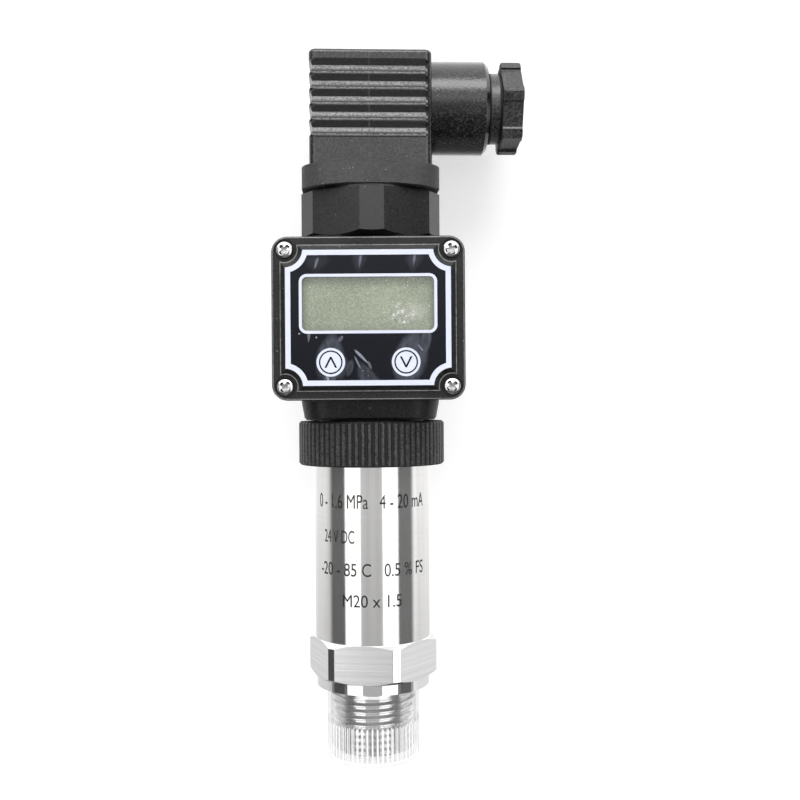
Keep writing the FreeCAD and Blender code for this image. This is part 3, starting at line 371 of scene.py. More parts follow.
# steels
def turnedSteel(name, look):
    paint = Paint(name)
    lines = paint.noise(look["lineScale"], 4.0, paint.coords(scale=look["stretch"]), 0.7)
    smear = paint.noise(look["smearScale"], 2.0)
    colour = paint.mixColour(lines, look["dark"], look["light"])
    if "streak" in look:  # faint upright drawing marks
        streaks = paint.noise(look["streakScale"], 3.0, paint.coords(scale=(1, 1, 0.02)), 0.6)
        streaks = paint.clamp((streaks - look["streakFrom"]) * look["streakGain"])
        colour = paint.mixColour(streaks * look["streak"], colour, look["streakColour"])
    if "recess" in look:  # painted shade down in the cross of each screw, over a paler floor
        x, y, z = paint.axes()
        recess = look["recess"]
        inCross = toNearestScrew(paint, x, z - lidCentre[2]) < recess["radius"]
        deep = paint.clamp((y - recess["start"]) / recess["fade"]) * inCross
        colour = paint.mixColour(deep * recess["paintedShade"], colour, recess["paintedShadeColour"])
        floor = paint.clamp((y - recess["floor"]) / recess["floorFade"]) * inCross
        colour = paint.mixColour(floor * recess["pale"], colour, recess["paleColour"])
    rough = look["roughness"] + (smear - 0.5) * look["smear"] + (lines - 0.5) * look["lineRough"]
    normal = paint.bump(lines, look["lineDepth"])
    return paint.finish(paint.surface(
        colour=colour, roughness=rough, metallic=look.get("metallic", 1.0), normal=normal,
    ))


tubeLook = {
    "dark": grey(0.62, 0.01), "light": grey(0.80, 0.01), "roughness": 0.09, "smear": 0.08,
    "lineScale": 60, "stretch": (1, 1, 120), "smearScale": 60, "lineRough": 0.08,
    "lineDepth": 0.002 * mm,
}
screwLook = dict(
    tubeLook, lineScale=900, stretch=(1, 1, 1), roughness=0.25, dark=grey(0.60), light=grey(0.72),
)
lidScrewSteel = turnedSteel("lidScrewSteel", dict(
    screwLook, roughness=0.16,
    recess={"radius": 1.34 * mm, "start": -20.66 * mm, "fade": 0.12 * mm, "floor": -19.84 * mm,
            "floorFade": 0.04 * mm, "paintedShade": 0.9, "paintedShadeColour": grey(0.05), "pale": 0.85,
            "paleColour": grey(0.45)},
))
tubeSteel = turnedSteel("tubeSteel", dict(
    tubeLook, roughness=0.11, metallic=0.91, streak=0.16, streakScale=520, streakFrom=0.45,
    streakGain=3, streakColour=grey(0.25),
))
screwSteel = turnedSteel("screwSteel", screwLook)
dress(tubeSteel, "housing_tube")

fittingLook = {
    "dark": grey(0.56), "light": grey(0.86), "metallic": 0.985, "roughness": 0.08,
    "flatRough": 0.26, "threadRough": 0.10, "flatRadius": 15.03 * mm, "collarTop": 2.35 * mm,
    "coarse": 50, "fine": 90, "lineDepth": 0.005 * mm, "turnedShade": 0.75, "threadShade": 0.2,
    "coarseShare": 0.7, "fineShare": 1.5, "lineShift": 0.70,
}


def fittingFinish(look):  # turned bright, with milled lines along the hexagon's flats
    paint = Paint("fittingSteel")
    x, y, z = paint.axes()
    flats = (paint.distance(x, y) < look["flatRadius"]) * (z > look["collarTop"])
    coarse = paint.noise(look["coarse"], 2.0, paint.coords(scale=(0.04, 0.04, 12)), 0.6)
    fine = paint.noise(look["fine"], 3.0, paint.coords(scale=(0.06, 0.06, 26)), 0.7)
    coarse, fine = (coarse - 0.5) * look["coarseShare"], (fine - 0.5) * look["fineShare"]
    lines = paint.clamp(coarse + fine + look["lineShift"])
    threaded = z < 0
    turned = look["turnedShade"] + look["threadShade"] * threaded
    worn = turned + (lines - turned) * flats
    colour = paint.mixColour(worn, look["dark"], look["light"])
    rough = look["roughness"] + flats * (look["flatRough"] - look["roughness"])
    rough = rough + threaded * look["threadRough"]
    normal = paint.bump(lines * flats, look["lineDepth"])
    return paint.finish(paint.surface(
        colour=colour, roughness=rough, metallic=look["metallic"], normal=normal,
    ))


fittingSteel = fittingFinish(fittingLook)
dress(screwSteel, "lid_screws", "terminal_screws", "plug_screw", "gland_washer", "sensor_cell",
      "sensor_lock_ring", "neck_circlip")
contactLook = dict(screwLook, dark=(0.60, 0.52, 0.30, 1), light=(0.74, 0.66, 0.42, 1))
dress(turnedSteel("contactMetal", contactLook), "base_insert", "earth_contact", "earth_sleeve",
      *[kind + str(i) for kind in ("line_contact_", "line_sleeve_") for i in (1, 2, 3)])

# inner pieces
innerLooks = {
    "boardGreen": ((0.02, 0.10, 0.04, 1), (0.03, 0.16, 0.06, 1), ["signal_board", "display_board"]),
    "trimmerBlue": ((0.02, 0.06, 0.25, 1), (0.03, 0.09, 0.35, 1), ["trimmers"]),
    "chipBlack": (grey(0.015), grey(0.03), ["amplifier_chip", "switch_cases", "board_carrier"]),
    "blockGrey": (grey(0.16), grey(0.22), ["contact_block"]),
    "frameWhite": (grey(0.55), grey(0.65), ["lcd_frame", "up_key_plunger", "down_key_plunger"]),
}
for name, (dark, light, users) in innerLooks.items():
    dress(mouldedPlastic(name, dict(housingLook, dark=dark, light=light, dustShare=0.0)), *users)
print("plastics and steels ready")


# small mesh tools
def newPiece(name, bm, material, body, smooth=True):
    bmesh.ops.remove_doubles(bm, verts=bm.verts, dist=weld)
    mesh = bpy.data.meshes.new(name)
    bm.to_mesh(mesh)
    bm.free()
    piece = bpy.data.objects.new(name, mesh)
    bpy.context.scene.collection.objects.link(piece)
    mesh.materials.append(material)
    for polygon in mesh.polygons:
        polygon.use_smooth = smooth
    if body:
        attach(piece, body)
    return piece


def applyModifiers(piece):
    depsgraph = bpy.context.evaluated_depsgraph_get()
    mesh = bpy.data.meshes.new_from_object(piece.evaluated_get(depsgraph))
    piece.modifiers.clear()
    piece.data = mesh


def cutBy(piece, tool, operation="DIFFERENCE"):
    cut = piece.modifiers.new("cut", "BOOLEAN")
    cut.operation = operation
    cut.object = tool
    cut.solver = "EXACT"


def roundedSlab(width, depth, height, corner, spot):  # upright, its depth along y
    bm = bmesh.new()
    place = Matrix.Translation(spot) @ Matrix.Diagonal((width, depth, height, 1))
    bmesh.ops.create_cube(bm, size=1, matrix=place)
    alongY = [e for e in bm.edges if abs(e.verts[0].co.y - e.verts[1].co.y) > depth / 2]
    bmesh.ops.bevel(bm, geom=alongY, offset=corner, affect="EDGES", segments=8, profile=0.5,
                    material=-1)
    return bm


# process connection with its real thread
threadLook = {
    "radius": 10.0 * mm, "pitch": 1.5 * mm, "depth": 0.90 * mm, "crest": 0.19 * mm,
    "root": 0.24 * mm, "end": -15.0 * mm, "relief": -1.75 * mm, "chamfer": 1.0 * mm,
    "port": 3.0 * mm, "mouth": 4.5 * mm, "mouthDepth": 4.0 * mm, "steps": 72, "spareTurns": 2,
    "runIn": 1.5, "weld": 0.002 * mm, "toolSteps": 96, "toolSpare": 0.1 * mm, "skin": 0.01 * mm,
    "lap": 0.05 * mm,
}


def lathe(corners, steps):
    bm = bmesh.new()
    verts = [bm.verts.new((r, 0, z)) for r, z in corners]
    edges = [bm.edges.new(pair) for pair in zip(verts, verts[1:])]
    bmesh.ops.spin(bm, geom=verts + edges, cent=(0, 0, 0), axis=(0, 0, 1), angle=2 * math.pi,
                   steps=steps, use_merge=True, use_duplicate=False)
    bmesh.ops.remove_doubles(bm, verts=bm.verts, dist=weld)
    bmesh.ops.recalc_face_normals(bm, faces=bm.faces)
    return bm


def makeThread(look):
    pitch, end, relief = look["pitch"], look["end"], look["relief"]
    outer, inner = look["radius"], look["radius"] - look["depth"]
    flank = (pitch - look["crest"] - look["root"]) / 2
    heights = [(inner, 0), (inner, look["root"]), (outer, look["root"] + flank),
               (outer, look["root"] + flank + look["crest"]), (inner, pitch)]
    turns = math.ceil((relief - end) / pitch) + look["spareTurns"]
    start = end - pitch * look["runIn"]
    bm = bmesh.new()
    verts = [bm.verts.new((r, 0, start + z)) for r, z in heights]
    edges = [bm.edges.new(pair) for pair in zip(verts, verts[1:])]
    bmesh.ops.spin(bm, geom=verts + edges, cent=(0, 0, 0), axis=(0, 0, 1),
                   angle=2 * math.pi * turns, steps=look["steps"] * turns,
                   dvec=(0, 0, pitch / look["steps"]), use_merge=False, use_duplicate=False)
    bmesh.ops.remove_doubles(bm, verts=bm.verts, dist=look["weld"])
    for height, upward in ((end, -1), (relief, 1)):
        bmesh.ops.bisect_plane(bm, geom=bm.verts[:] + bm.edges[:] + bm.faces[:], dist=weld,
                               plane_co=(0, 0, height), plane_no=(0, 0, upward),
                               clear_outer=True)
    rims = [e for e in bm.edges if e.is_boundary]
    bmesh.ops.holes_fill(bm, edges=rims, sides=0)
    bmesh.ops.recalc_face_normals(bm, faces=bm.faces)
    rod = newPiece("threadRod", bm, fittingSteel, None)
    wide, chamfer, spare = outer + look["skin"], look["chamfer"], look["toolSpare"]
    envelope = newPiece("threadEnvelope", lathe([
        (0, end), (outer - chamfer, end), (wide, end + chamfer), (wide, relief + spare),
        (0, relief + spare),
    ], look["toolSteps"]), fittingSteel, None)
    mouth, port = look["mouth"], look["port"]
    bore = newPiece("threadBore", lathe([
        (0, end - spare), (mouth, end - spare), (port, end + look["mouthDepth"]),
        (port, relief + 2 * spare), (0, relief + 2 * spare),
    ], look["toolSteps"]), fittingSteel, None)
    cutBy(rod, envelope, "INTERSECT")
    cutBy(rod, bore)
    applyModifiers(rod)
    for tool in (envelope, bore):
        bpy.data.objects.remove(tool)
    return rod


def makeFitting(look):
    rod = makeThread(look)
    bm = bmesh.new()
    bm.from_mesh(nodes["process_connection"].data)
    bmesh.ops.remove_doubles(bm, verts=bm.verts, dist=weld)
    bmesh.ops.bisect_plane(bm, geom=bm.verts[:] + bm.edges[:] + bm.faces[:], dist=weld,
                           plane_co=(0, 0, look["relief"] - look["lap"]), plane_no=(0, 0, -1),
                           clear_outer=True)
    bmesh.ops.holes_fill(bm, edges=[e for e in bm.edges if e.is_boundary], sides=0)
    bm.from_mesh(rod.data)
    bpy.data.objects.remove(rod)
    piece = newPiece("processFitting", bm, fittingSteel, "steel_body", smooth=False)
    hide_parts("process_connection")


makeFitting(threadLook)
print("process fitting threaded")

# clear cap
capLook = {
    "rib": grey(0.95), "wall": grey(0.58), "glow": grey(0.2), "roughness": 0.15, "clear": 0.08,
    "edge": 0.26, "edgeBlend": 0.35, "ribs": 56, "ribTop": -8.5 * mm, "ribEnd": -16.6 * mm,
    "crest": 0.45, "crestGain": 4, "ribHaze": 0.50, "rippleScale": 220, "rippleDepth": 0.01 * mm,
}


def clearPlastic(look):
    paint = Paint("clearPlastic")
    x, y, z = paint.axes()
    around = paint.maths("ARCTAN2", y, x)
    wave = paint.maths("COSINE", around * look["ribs"])
    ribbed = (z < look["ribTop"]) * (z > look["ribEnd"])
    crest = paint.clamp((wave - look["crest"]) * look["crestGain"]) * ribbed
    edge = paint.sock("ShaderNodeLayerWeight", None, {"Blend": look["edgeBlend"]}, out="Facing")
    ripple = paint.noise(look["rippleScale"], 1.0)
    alpha = look["clear"] + edge * edge * look["edge"] + crest * look["ribHaze"]
    # the rib crests glow faintly: painted light lifting them towards white
    return paint.finish(paint.surface(
        colour=paint.mixColour(crest, look["wall"], look["rib"]), roughness=look["roughness"],
        alpha=alpha, glow=paint.mixColour(crest, grey(0), look["glow"]), glowStrength=1.0,
        normal=paint.bump(ripple, look["rippleDepth"]),
    ))


dress(clearPlastic(capLook), "thread_cap")
print("clear cap dressed")

# printed film
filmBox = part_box("overlay_film")
keyBoxes = {"up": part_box("up_key_plunger"), "down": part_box("down_key_plunger")}
filmLook = {
    "ink": (0.007, 0.008, 0.012, 1), "line": (0.66, 0.69, 0.82, 1), "specular": 0.13, "gloss": 0.07,
    "border": 1.15 * mm, "arc": 4.0 * mm, "windowRise": 3.05 * mm,
    "windowSize": (30.1 * mm, 13.0 * mm), "windowCorner": 1.75 * mm, "windowLine": 0.65 * mm,
    "opening": (28.8 * mm, 11.7 * mm), "openingCorner": 1.1 * mm, "cutterDepth": 4 * mm,
    "disc": 3.12 * mm, "ring": 2.42 * mm, "ringWidth": 0.32 * mm,
    "caret": (1.12 * mm, 1.12 * mm), "caretWidth": 0.20 * mm, "caretReach": 1.08,
    "waveScale": 90, "waveStretch": (1, 1, 0.45), "waveShift": (0.013, 0, 0.004),
    "waveDepth": 0.06 * mm, "dust": grey(0.6), "dustScale": 800, "dustSize": 0.16,
    "dustShare": 0.03, "dustStrength": 0.6, "veil": (0.42, 0.45, 0.55, 1), "veilTint": 0.27,
    "veilDull": 0.2,
    "skin": {"grain": 700, "stretch": (1.6, 1, 0.4), "grainGain": 1.5, "grainShift": 0.1,
             "edge": 260, "ragged": 0.5, "core": 0.55, "soft": 3, "flared": 0.5, "flaredSoft": 1.6,
             "flaredFade": 0.6},
    # patches of painted reflection in mm: across, up, half width, half height, lean, strength, widening
    # upwards
    "veils": [(-11.3, 11.4, 2.2, 2.6, 0.1, 0.35, 0.9), (-1.9, 11.6, 1.5, 3.2, 0.05, 0.5, 0.95),
              (9.9, 11.6, 1.7, 3.0, 0.05, 0.5, 0.95), (-8.0, -8.8, 3.6, 5.6, 0.0, 0.6, -0.35),
              (-8.4, -13.2, 1.8, 2.2, 0.2, 0.8, 0.3), (9.0, -8.6, 4.0, 6.0, 0.15, 0.65, -0.2),
              (-0.4, -12.4, 2.3, 2.8, -0.5, 0.45, -0.5), (12.4, -5.4, 1.4, 3.6, 0.25, 0.6, 0.0),
              (-12.9, -3.4, 0.35, 2.2, 0.05, 1.5, 0.0), (-1.5, -8.5, 0.42, 1.7, -0.95, 3.0, 0.3),
              (-2.3, -9.9, 0.24, 1.6, -0.48, 1.9, 0.0), (11.3, -6.6, 0.20, 0.8, -0.8, 3.5, 0.0),
              (-1.75, 11.9, 0.34, 2.3, 0.14, 3.0, 0.8), (-12.6, -1.6, 0.3, 0.5, 0.0, 2.5, 0.0),
              (10.0, 12.0, 0.3, 2.0, 0.14, 2.6, 0.8), (-11.2, 11.9, 0.35, 1.4, 0.3, 1.6, 0.5),
              (-4.1, -11.0, 0.9, 2.0, 0.2, 0.45, 0.0), (-8.9, -13.1, 0.38, 1.3, -0.3, 3.2, 0.0),
              (-6.0, -4.6, 0.5, 0.7, 0.5, 1.2, 0.0), (0.3, -10.4, 0.35, 1.0, -0.4, 1.3, 0.0)],
}


def between(value, low, high):
    return (value > low) * (value < high)


def keyMarks(paint, look, x, z):  # the white discs, and the rings and arrows drawn on them
    discs, strokes = None, None
    halfRing = look["ringWidth"] / 2
    w, h = look["caret"]
    slope = math.hypot(w, 2 * h)
    for key, box in keyBoxes.items():
        kx, _, kz = centre(box)
        dx, dz = abs(x - kx), z - kz
        radius = paint.distance(dx, dz)
        disc = radius < look["disc"]
        ring = between(radius, look["ring"] - halfRing, look["ring"] + halfRing)
        sign = 1 if key == "up" else -1
        toStroke = abs((dz * sign - h) * (w / slope) + dx * (2 * h / slope))
        stroke = (toStroke < look["caretWidth"]) * (abs(dz) < h * look["caretReach"])
        mark = paint.larger(ring, stroke)
        discs = disc if discs is None else paint.larger(discs, disc)
        strokes = mark if strokes is None else paint.larger(strokes, mark)
    return discs, strokes


def liftedSkin(paint, look, x, up):  # painted reflection: pale patches where wrinkles and bubbles in the film catch the light
    skin = look["skin"]
    fine = paint.noise(skin["grain"], 3.0, paint.coords(scale=skin["stretch"]))
    ragged = (paint.noise(skin["edge"], 2.0) - 0.5) * skin["ragged"]
    veil = None
    for cx, cz, rx, rz, lean, strength, widen in look["veils"]:
        dz = (up - cz * mm) / (rz * mm)
        dx = (x - cx * mm - (up - cz * mm) * lean) / (rx * mm)
        if widen:
            dx = dx / paint.larger(1 + dz * widen, 0.05)
        far = paint.distance(dx, dz) + ragged
        flared = widen > skin["flared"]
        patch = paint.clamp((1 - far) * (skin["flaredSoft"] if flared else skin["soft"]))
        patch = patch * (skin["core"] + (1 - skin["core"]) * paint.clamp(far)) * strength
        if flared:
            patch = patch * paint.clamp(0.5 + dz * skin["flaredFade"])
        veil = patch if veil is None else paint.larger(veil, patch)
    return veil * paint.clamp(fine * skin["grainGain"] + skin["grainShift"])


def printedFilm(look):
    paint = Paint("printedFilm")
    x, y, z = paint.axes()
    up = z - lidCentre[2]
    halfX, halfZ = filmBox[1][0], (filmBox[1][2] - filmBox[0][2]) / 2
    toEdge = paint.larger(abs(x) - halfX, abs(up) - halfZ)
    edge = paint.larger(toEdge, look["arc"] - toNearestScrew(paint, x, up))
    window = roundedBand(paint, x, up - look["windowRise"], look["windowSize"], look["windowCorner"])
    discs, strokes = keyMarks(paint, look, x, z)
    white = paint.larger(edge > -look["border"], between(window, -look["windowLine"], 0.0))
    white = paint.larger(white, discs)
    veil = liftedSkin(paint, look, x, up)
    spread = paint.coords(scale=look["waveStretch"], move=look["waveShift"])
    wave = paint.noise(look["waveScale"], 2.0, spread)
    dust = paint.specks(look["dustScale"], look["dustSize"], look["dustShare"])
    # painted reflection: the veils lift the ink towards pale blue-grey
    colour = paint.mixColour(paint.clamp(veil * look["veilTint"]), look["ink"], look["veil"])
    colour = paint.mixColour(dust * look["dustStrength"], colour, look["dust"])
    colour = paint.mixColour(white, colour, look["line"])
    colour = paint.mixColour(strokes, colour, look["ink"])
    return paint.finish(paint.surface(
        colour=colour, roughness=look["gloss"] + paint.clamp(veil) * look["veilDull"],
        normal=paint.bump(wave, look["waveDepth"]), specular=look["specular"],
    ))


def makeFilm(look):
    bm = bmesh.new()
    bm.from_mesh(nodes["overlay_film"].data)
    bmesh.ops.remove_doubles(bm, verts=bm.verts, dist=weld)
    bmesh.ops.dissolve_limit(bm, angle_limit=0.01, verts=bm.verts, edges=bm.edges)
    film = newPiece("printedOverlay", bm, printedFilm(look), "head", smooth=False)
    width, height = look["opening"]
    slab = roundedSlab(width, look["cutterDepth"], height, look["openingCorner"],
                       (0, lidBox[0][1], lidCentre[2] + look["windowRise"]))
    cutter = newPiece("windowCutter", slab, housingPlastic, None)
    cutBy(film, cutter)
    applyModifiers(film)
    bpy.data.objects.remove(cutter)
    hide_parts("overlay_film")


makeFilm(filmLook)
print("overlay film printed")

# lid screws with their cross recesses
lidScrewLook = {
    "radius": 1.9 * mm, "height": 1.25 * mm, "rim": 0.30, "shank": 1.1 * mm, "length": 8.0 * mm,
    "steps": 12, "arm": 1.32 * mm, "armWidth": 0.86 * mm, "waist": 0.62 * mm, "depth": 1.0 * mm,
    "mouth": 1.08, "taper": 0.72, "bevel": 0.05 * mm, "turns": [43, 20, 50, 38],
    "domeWiden": 0.85, "domeRaise": 0.75, "pointStart": 0.93, "point": 0.6, "around": 64,
    "waistSpread": 1.25, "shoulder": 0.80, "tip": 0.55, "toolRise": 0.1 * mm,
    "bevelAngle": 38, "sharpAngle": 35,
}


def makeCrossTool(look):
    bm = bmesh.new()
    rings = []
    mouth = (look["height"] + look["toolRise"], look["mouth"])
    bottom = (look["height"] - look["depth"], look["taper"])
    for height, share in (mouth, bottom):
        ring = []
        for arm in range(4):
            turn = Matrix.Rotation(math.radians(90 * arm), 3, "Z")
            half, waist, reach = look["armWidth"] / 2, look["waist"] / 2, look["arm"] * share
            shoulder, tip = reach * look["shoulder"], half * look["tip"]
            for x, y in ((waist * look["waistSpread"], -waist), (shoulder, -half), (reach, -tip),
                         (reach, tip), (shoulder, half)):
                spot = turn @ Vector((x, y, 0))
                ring.append(bm.verts.new((spot.x, spot.y, height)))
        rings.append(ring)
    bm.faces.new(rings[0])
    bm.faces.new(list(reversed(rings[1])))
    count = len(rings[0])
    for i in range(count):
        j = (i + 1) % count
        bm.faces.new((rings[0][i], rings[1][i], rings[1][j], rings[0][j]))
    bmesh.ops.recalc_face_normals(bm, faces=bm.faces)
    return newPiece("crossTool", bm, screwSteel, None)


def makeLidScrews(look):
    radius, height, steps, rim = look["radius"], look["height"], look["steps"], look["rim"]
    dome = [(0, height)]
    for i in range(1, steps):
        a = math.radians(90 * i / steps)
        level = rim + (1 - rim) * math.cos(a) ** look["domeRaise"]
        dome.append((radius * math.sin(a) ** look["domeWiden"], height * level))
    shank, length = look["shank"], look["length"]
    profile = dome + [(radius, height * rim), (radius, 0), (shank, 0),
                      (shank, -length * look["pointStart"]), (shank * look["point"], -length),
                      (0, -length)]
    head = newPiece("screwBlank", lathe(profile, look["around"]), screwSteel, None)
    tool = makeCrossTool(look)
    cutBy(head, tool)
    edge = head.modifiers.new("edge", "BEVEL")
    edge.width = look["bevel"]
    edge.segments = 2
    edge.limit_method = "ANGLE"
    edge.angle_limit = math.radians(look["bevelAngle"])
    applyModifiers(head)
    low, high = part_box("lid_screws")
    seat = low[1] + height
    x, z = high[0] - radius, (high[2] - low[2]) / 2 - radius
    bm = bmesh.new()
    for (sx, sz), turn in zip(((-1, 1), (1, 1), (-1, -1), (1, -1)), look["turns"]):
        place = Matrix.Translation((sx * x, seat, (low[2] + high[2]) / 2 + sz * z))
        facing = Matrix.Rotation(math.radians(90), 4, "X")
        copy = head.data.copy()
        copy.transform(place @ facing @ Matrix.Rotation(math.radians(turn), 4, "Z"))
        bm.from_mesh(copy)
        bpy.data.meshes.remove(copy)
    bpy.data.objects.remove(head)
    bpy.data.objects.remove(tool)
    piece = newPiece("crossScrews", bm, lidScrewSteel, "head")
    piece.data.set_sharp_from_angle(angle=math.radians(look["sharpAngle"]))
    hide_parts("lid_screws")


makeLidScrews(lidScrewLook)
print("lid screws cut")

# plain range marks etched on the tube
markLook = {
    # words, height, size, width round the tube, turn
    "lines": [
        ("0 - 1.6 MPa   4 - 20 mA", 43.6 * mm, 4.6 * mm, 29.0 * mm, 0),
        ("24 V DC", 35.6 * mm, 4.2 * mm, 8.5 * mm, -34),
        ("-20 - 85 C   0.5 % FS", 28.2 * mm, 4.2 * mm, 28.0 * mm, 1),
        ("M20 x 1.5", 21.2 * mm, 4.0 * mm, 14.0 * mm, 1),
    ],
    "lift": 0.012 * mm, "thick": 0.008 * mm, "strip": 0.4 * mm, "stripShift": 0.01 * mm,
    "colour": grey(0.012), "worn": grey(0.10), "wornScale": 900, "wornFrom": 0.55, "wornGain": 4,
    "roughness": 0.6, "wornRough": 0.2, "specular": 0.2,
}


def etched(look):
    paint = Paint("etchedMark")
    worn = paint.noise(look["wornScale"], 3.0)
    tint = paint.clamp((worn - look["wornFrom"]) * look["wornGain"])
    return paint.finish(paint.surface(
        colour=paint.mixColour(tint, look["colour"], look["worn"]),
        roughness=look["roughness"] + worn * look["wornRough"], specular=look["specular"],
    ))


def wordShape(words, size, thick):  # words lying flat about the origin
    curve = bpy.data.curves.new("words", "FONT")
    curve.body = words
    curve.size = size
    curve.extrude = thick
    curve.align_x = "CENTER"
    curve.align_y = "CENTER"
    flat = bpy.data.objects.new("words", curve)
    bpy.context.scene.collection.objects.link(flat)
    bpy.context.view_layer.update()
    depsgraph = bpy.context.evaluated_depsgraph_get()
    mesh = bpy.data.meshes.new_from_object(flat.evaluated_get(depsgraph))
    bpy.data.objects.remove(flat)
    shape = bmesh.new()
    shape.from_mesh(mesh)
    bpy.data.meshes.remove(mesh)
    bmesh.ops.remove_doubles(shape, verts=shape.verts, dist=weld)
    return shape


def bendRound(shape, look, radius, height, width, turn):  # cut in strips first, so that it bends
    reach = max(v.co.x for v in shape.verts)
    narrow = width / (2 * reach)
    strips = int(reach / look["strip"])
    for i in range(-strips, strips + 1):
        cut = i * look["strip"] + look["stripShift"]
        bmesh.ops.bisect_plane(shape, geom=shape.verts[:] + shape.edges[:] + shape.faces[:],
                               dist=weld, plane_co=(cut, 0, 0), plane_no=(1, 0, 0))
    for vert in shape.verts:
        angle = vert.co.x * narrow / radius + math.radians(turn)
        out = radius + vert.co.z
        vert.co = (out * math.sin(angle), -out * math.cos(angle), height + vert.co.y)


def makeMarks(look):
    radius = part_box("housing_tube")[1][0] + look["lift"]
    bm = bmesh.new()
    for words, height, size, width, turn in look["lines"]:
        shape = wordShape(words, size, look["thick"])
        bendRound(shape, look, radius, height, width, turn)
        line = bpy.data.meshes.new("line")
        shape.to_mesh(line)
        shape.free()
        bm.from_mesh(line)
        bpy.data.meshes.remove(line)
    bmesh.ops.recalc_face_normals(bm, faces=bm.faces)
    piece = newPiece("tubeMarks", bm, etched(look), "steel_body", smooth=False)


makeMarks(markLook)
print("tube marked")

# window pane and display glass
paneLook = {
    "thickness": 0.12 * mm, "inset": 0.05 * mm, "colour": grey(0.85), "haze": 0.05,
    "roughness": 0.10, "specular": 0.5, "markAlpha": 0.8, "markDull": 0.4,
    "chalkSpot": (6.9 * mm, 0.7 * mm), "chalkReach": 3.6 * mm, "chalkFlat": 0.5, "chalkGain": 3,
    "chalkStrength": 0.7, "patchScale": 420, "patchFloor": 0.36, "patchGain": 6,
    "scratchScale": 1500, "scratchTurn": (0, 0.6, 0), "scratchStretch": (1, 1, 0.6),
    "scratchFloor": 0.64, "scratchNear": 0.2, "scratchGain": 9,
    "smearShift": (3.4 * mm, 0.6 * mm), "smearReach": 2.6 * mm, "smearFlat": 0.7,
    "smearPatch": 1.6, "smearStrength": 0.22,
    "powder": (2600, 0.24, 0.40), "dots": (1500, 0.17, 0.05),  # scale, size and share of specks
}


def dustyPane(look):
    paint = Paint("dustyPane")
    x, y, z = paint.axes()
    across, up = x - look["chalkSpot"][0], z - (lidCentre[2] + look["chalkSpot"][1])
    far = paint.maths("SQRT", across * across * look["chalkFlat"] + up * up)
    near = paint.clamp(1 - far / look["chalkReach"])
    lean = paint.coords(turn=look["scratchTurn"], scale=look["scratchStretch"])
    scratch = paint.noise(look["scratchScale"], 4.0, lean, 0.75)
    patch = paint.noise(look["patchScale"], 2.0)
    cluster = paint.clamp((patch - look["patchFloor"]) * look["patchGain"])
    cluster = paint.clamp(near * look["chalkGain"]) * cluster
    chalk = (scratch - look["scratchFloor"] + near * look["scratchNear"]) * look["scratchGain"]
    chalk = paint.clamp(chalk) * cluster
    powder = paint.specks(*look["powder"]) * cluster
    dots = paint.specks(*look["dots"])
    beside, above = across - look["smearShift"][0], up - look["smearShift"][1]
    smear = paint.maths("SQRT", beside * beside * look["smearFlat"] + above * above)
    smear = paint.clamp(1 - smear / look["smearReach"]) * look["smearStrength"]
    smear = smear * paint.clamp(patch * look["smearPatch"])
    mark = paint.larger(chalk, paint.larger(powder, dots)) * look["chalkStrength"]
    mark = paint.larger(mark, smear)
    return paint.finish(paint.surface(
        colour=look["colour"], roughness=look["roughness"] + mark * look["markDull"],
        alpha=look["haze"] + mark * look["markAlpha"], specular=look["specular"],
    ))


def makePane(look):
    width, height = (side - look["inset"] for side in filmLook["opening"])
    spot = (0, filmBox[1][1] - look["thickness"] / 2, lidCentre[2] + filmLook["windowRise"])
    slab = roundedSlab(width, look["thickness"], height, filmLook["openingCorner"], spot)
    pane = newPiece("filmPane", slab, dustyPane(look), "head", smooth=False)


makePane(paneLook)

lcdLook = {
    "light": (0.33, 0.365, 0.26, 1), "dark": (0.165, 0.195, 0.13, 1), "shade": (0.12, 0.14, 0.09, 1),
    "shadeStrength": 0.45, "fade": 2.9 * mm, "sideFade": 1.9 * mm, "roughness": 0.35,
    "specular": 0.3, "grainScale": 2600, "grain": 1.9, "fineScale": 6000, "fine": 1.6,
    "cloudScale": 110, "cloud": 0.8, "shift": 0.02,
}


def lcdGlass(look):
    paint = Paint("lcdGlass")
    x, y, z = paint.axes()
    low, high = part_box("lcd_glass")
    fade, sideFade = look["fade"], look["sideFade"]
    shade = paint.clamp((z - (high[2] - fade)) / fade)
    shade = paint.larger(shade, paint.clamp((low[0] + sideFade - x) / sideFade))
    shade = paint.larger(shade, paint.clamp((x + low[0] + sideFade) / sideFade))
    grain = (paint.noise(look["grainScale"]) - 0.5) * look["grain"]
    fine = (paint.noise(look["fineScale"]) - 0.5) * look["fine"]
    cloud = paint.noise(look["cloudScale"]) * look["cloud"]
    tint = paint.clamp(cloud + grain + fine + look["shift"])
    colour = paint.mixColour(tint, look["dark"], look["light"])
    colour = paint.mixColour(shade * look["shadeStrength"], colour, look["shade"])
    return paint.finish(paint.surface(
        colour=colour, roughness=look["roughness"], specular=look["specular"],
    ))


dress(lcdGlass(lcdLook), "lcd_glass")
print("display dressed")

# floor, backdrop, lights and camera
stageLook = {
    "backdropY": 17.6 * mm, "floorZ": -70 * mm, "reach": 1.4, "floorReach": 0.3,
    "white": grey(0.9), "glow": 1.55, "glowShare": 0.35,
}


def stageWhite(name, look, backSee):
    paint = Paint(name)
    rays = paint.node("ShaderNodeLightPath")
    kinds = ("Is Camera Ray", "Is Glossy Ray", "Is Transmission Ray")
    camera, glossy, through = (Sock(paint, rays.outputs[kind]) for kind in kinds)
    seen = paint.larger(camera, through)
    plain = paint.sock("ShaderNodeBsdfDiffuse", None, {"Color": look["white"]})
    glow = paint.sock("ShaderNodeEmission", None, {"Color": grey(1.0), "Strength": look["glow"]})
    blend = paint.mixShader(seen * look["glowShare"], plain, glow)
    clear = paint.sock("ShaderNodeBsdfTransparent")
    hidden = glossy
    if backSee:
        hidden = paint.larger(glossy, paint.sock("ShaderNodeNewGeometry", out="Backfacing"))
    blend = paint.mixShader(hidden, blend, clear)
    return paint.finish(blend)


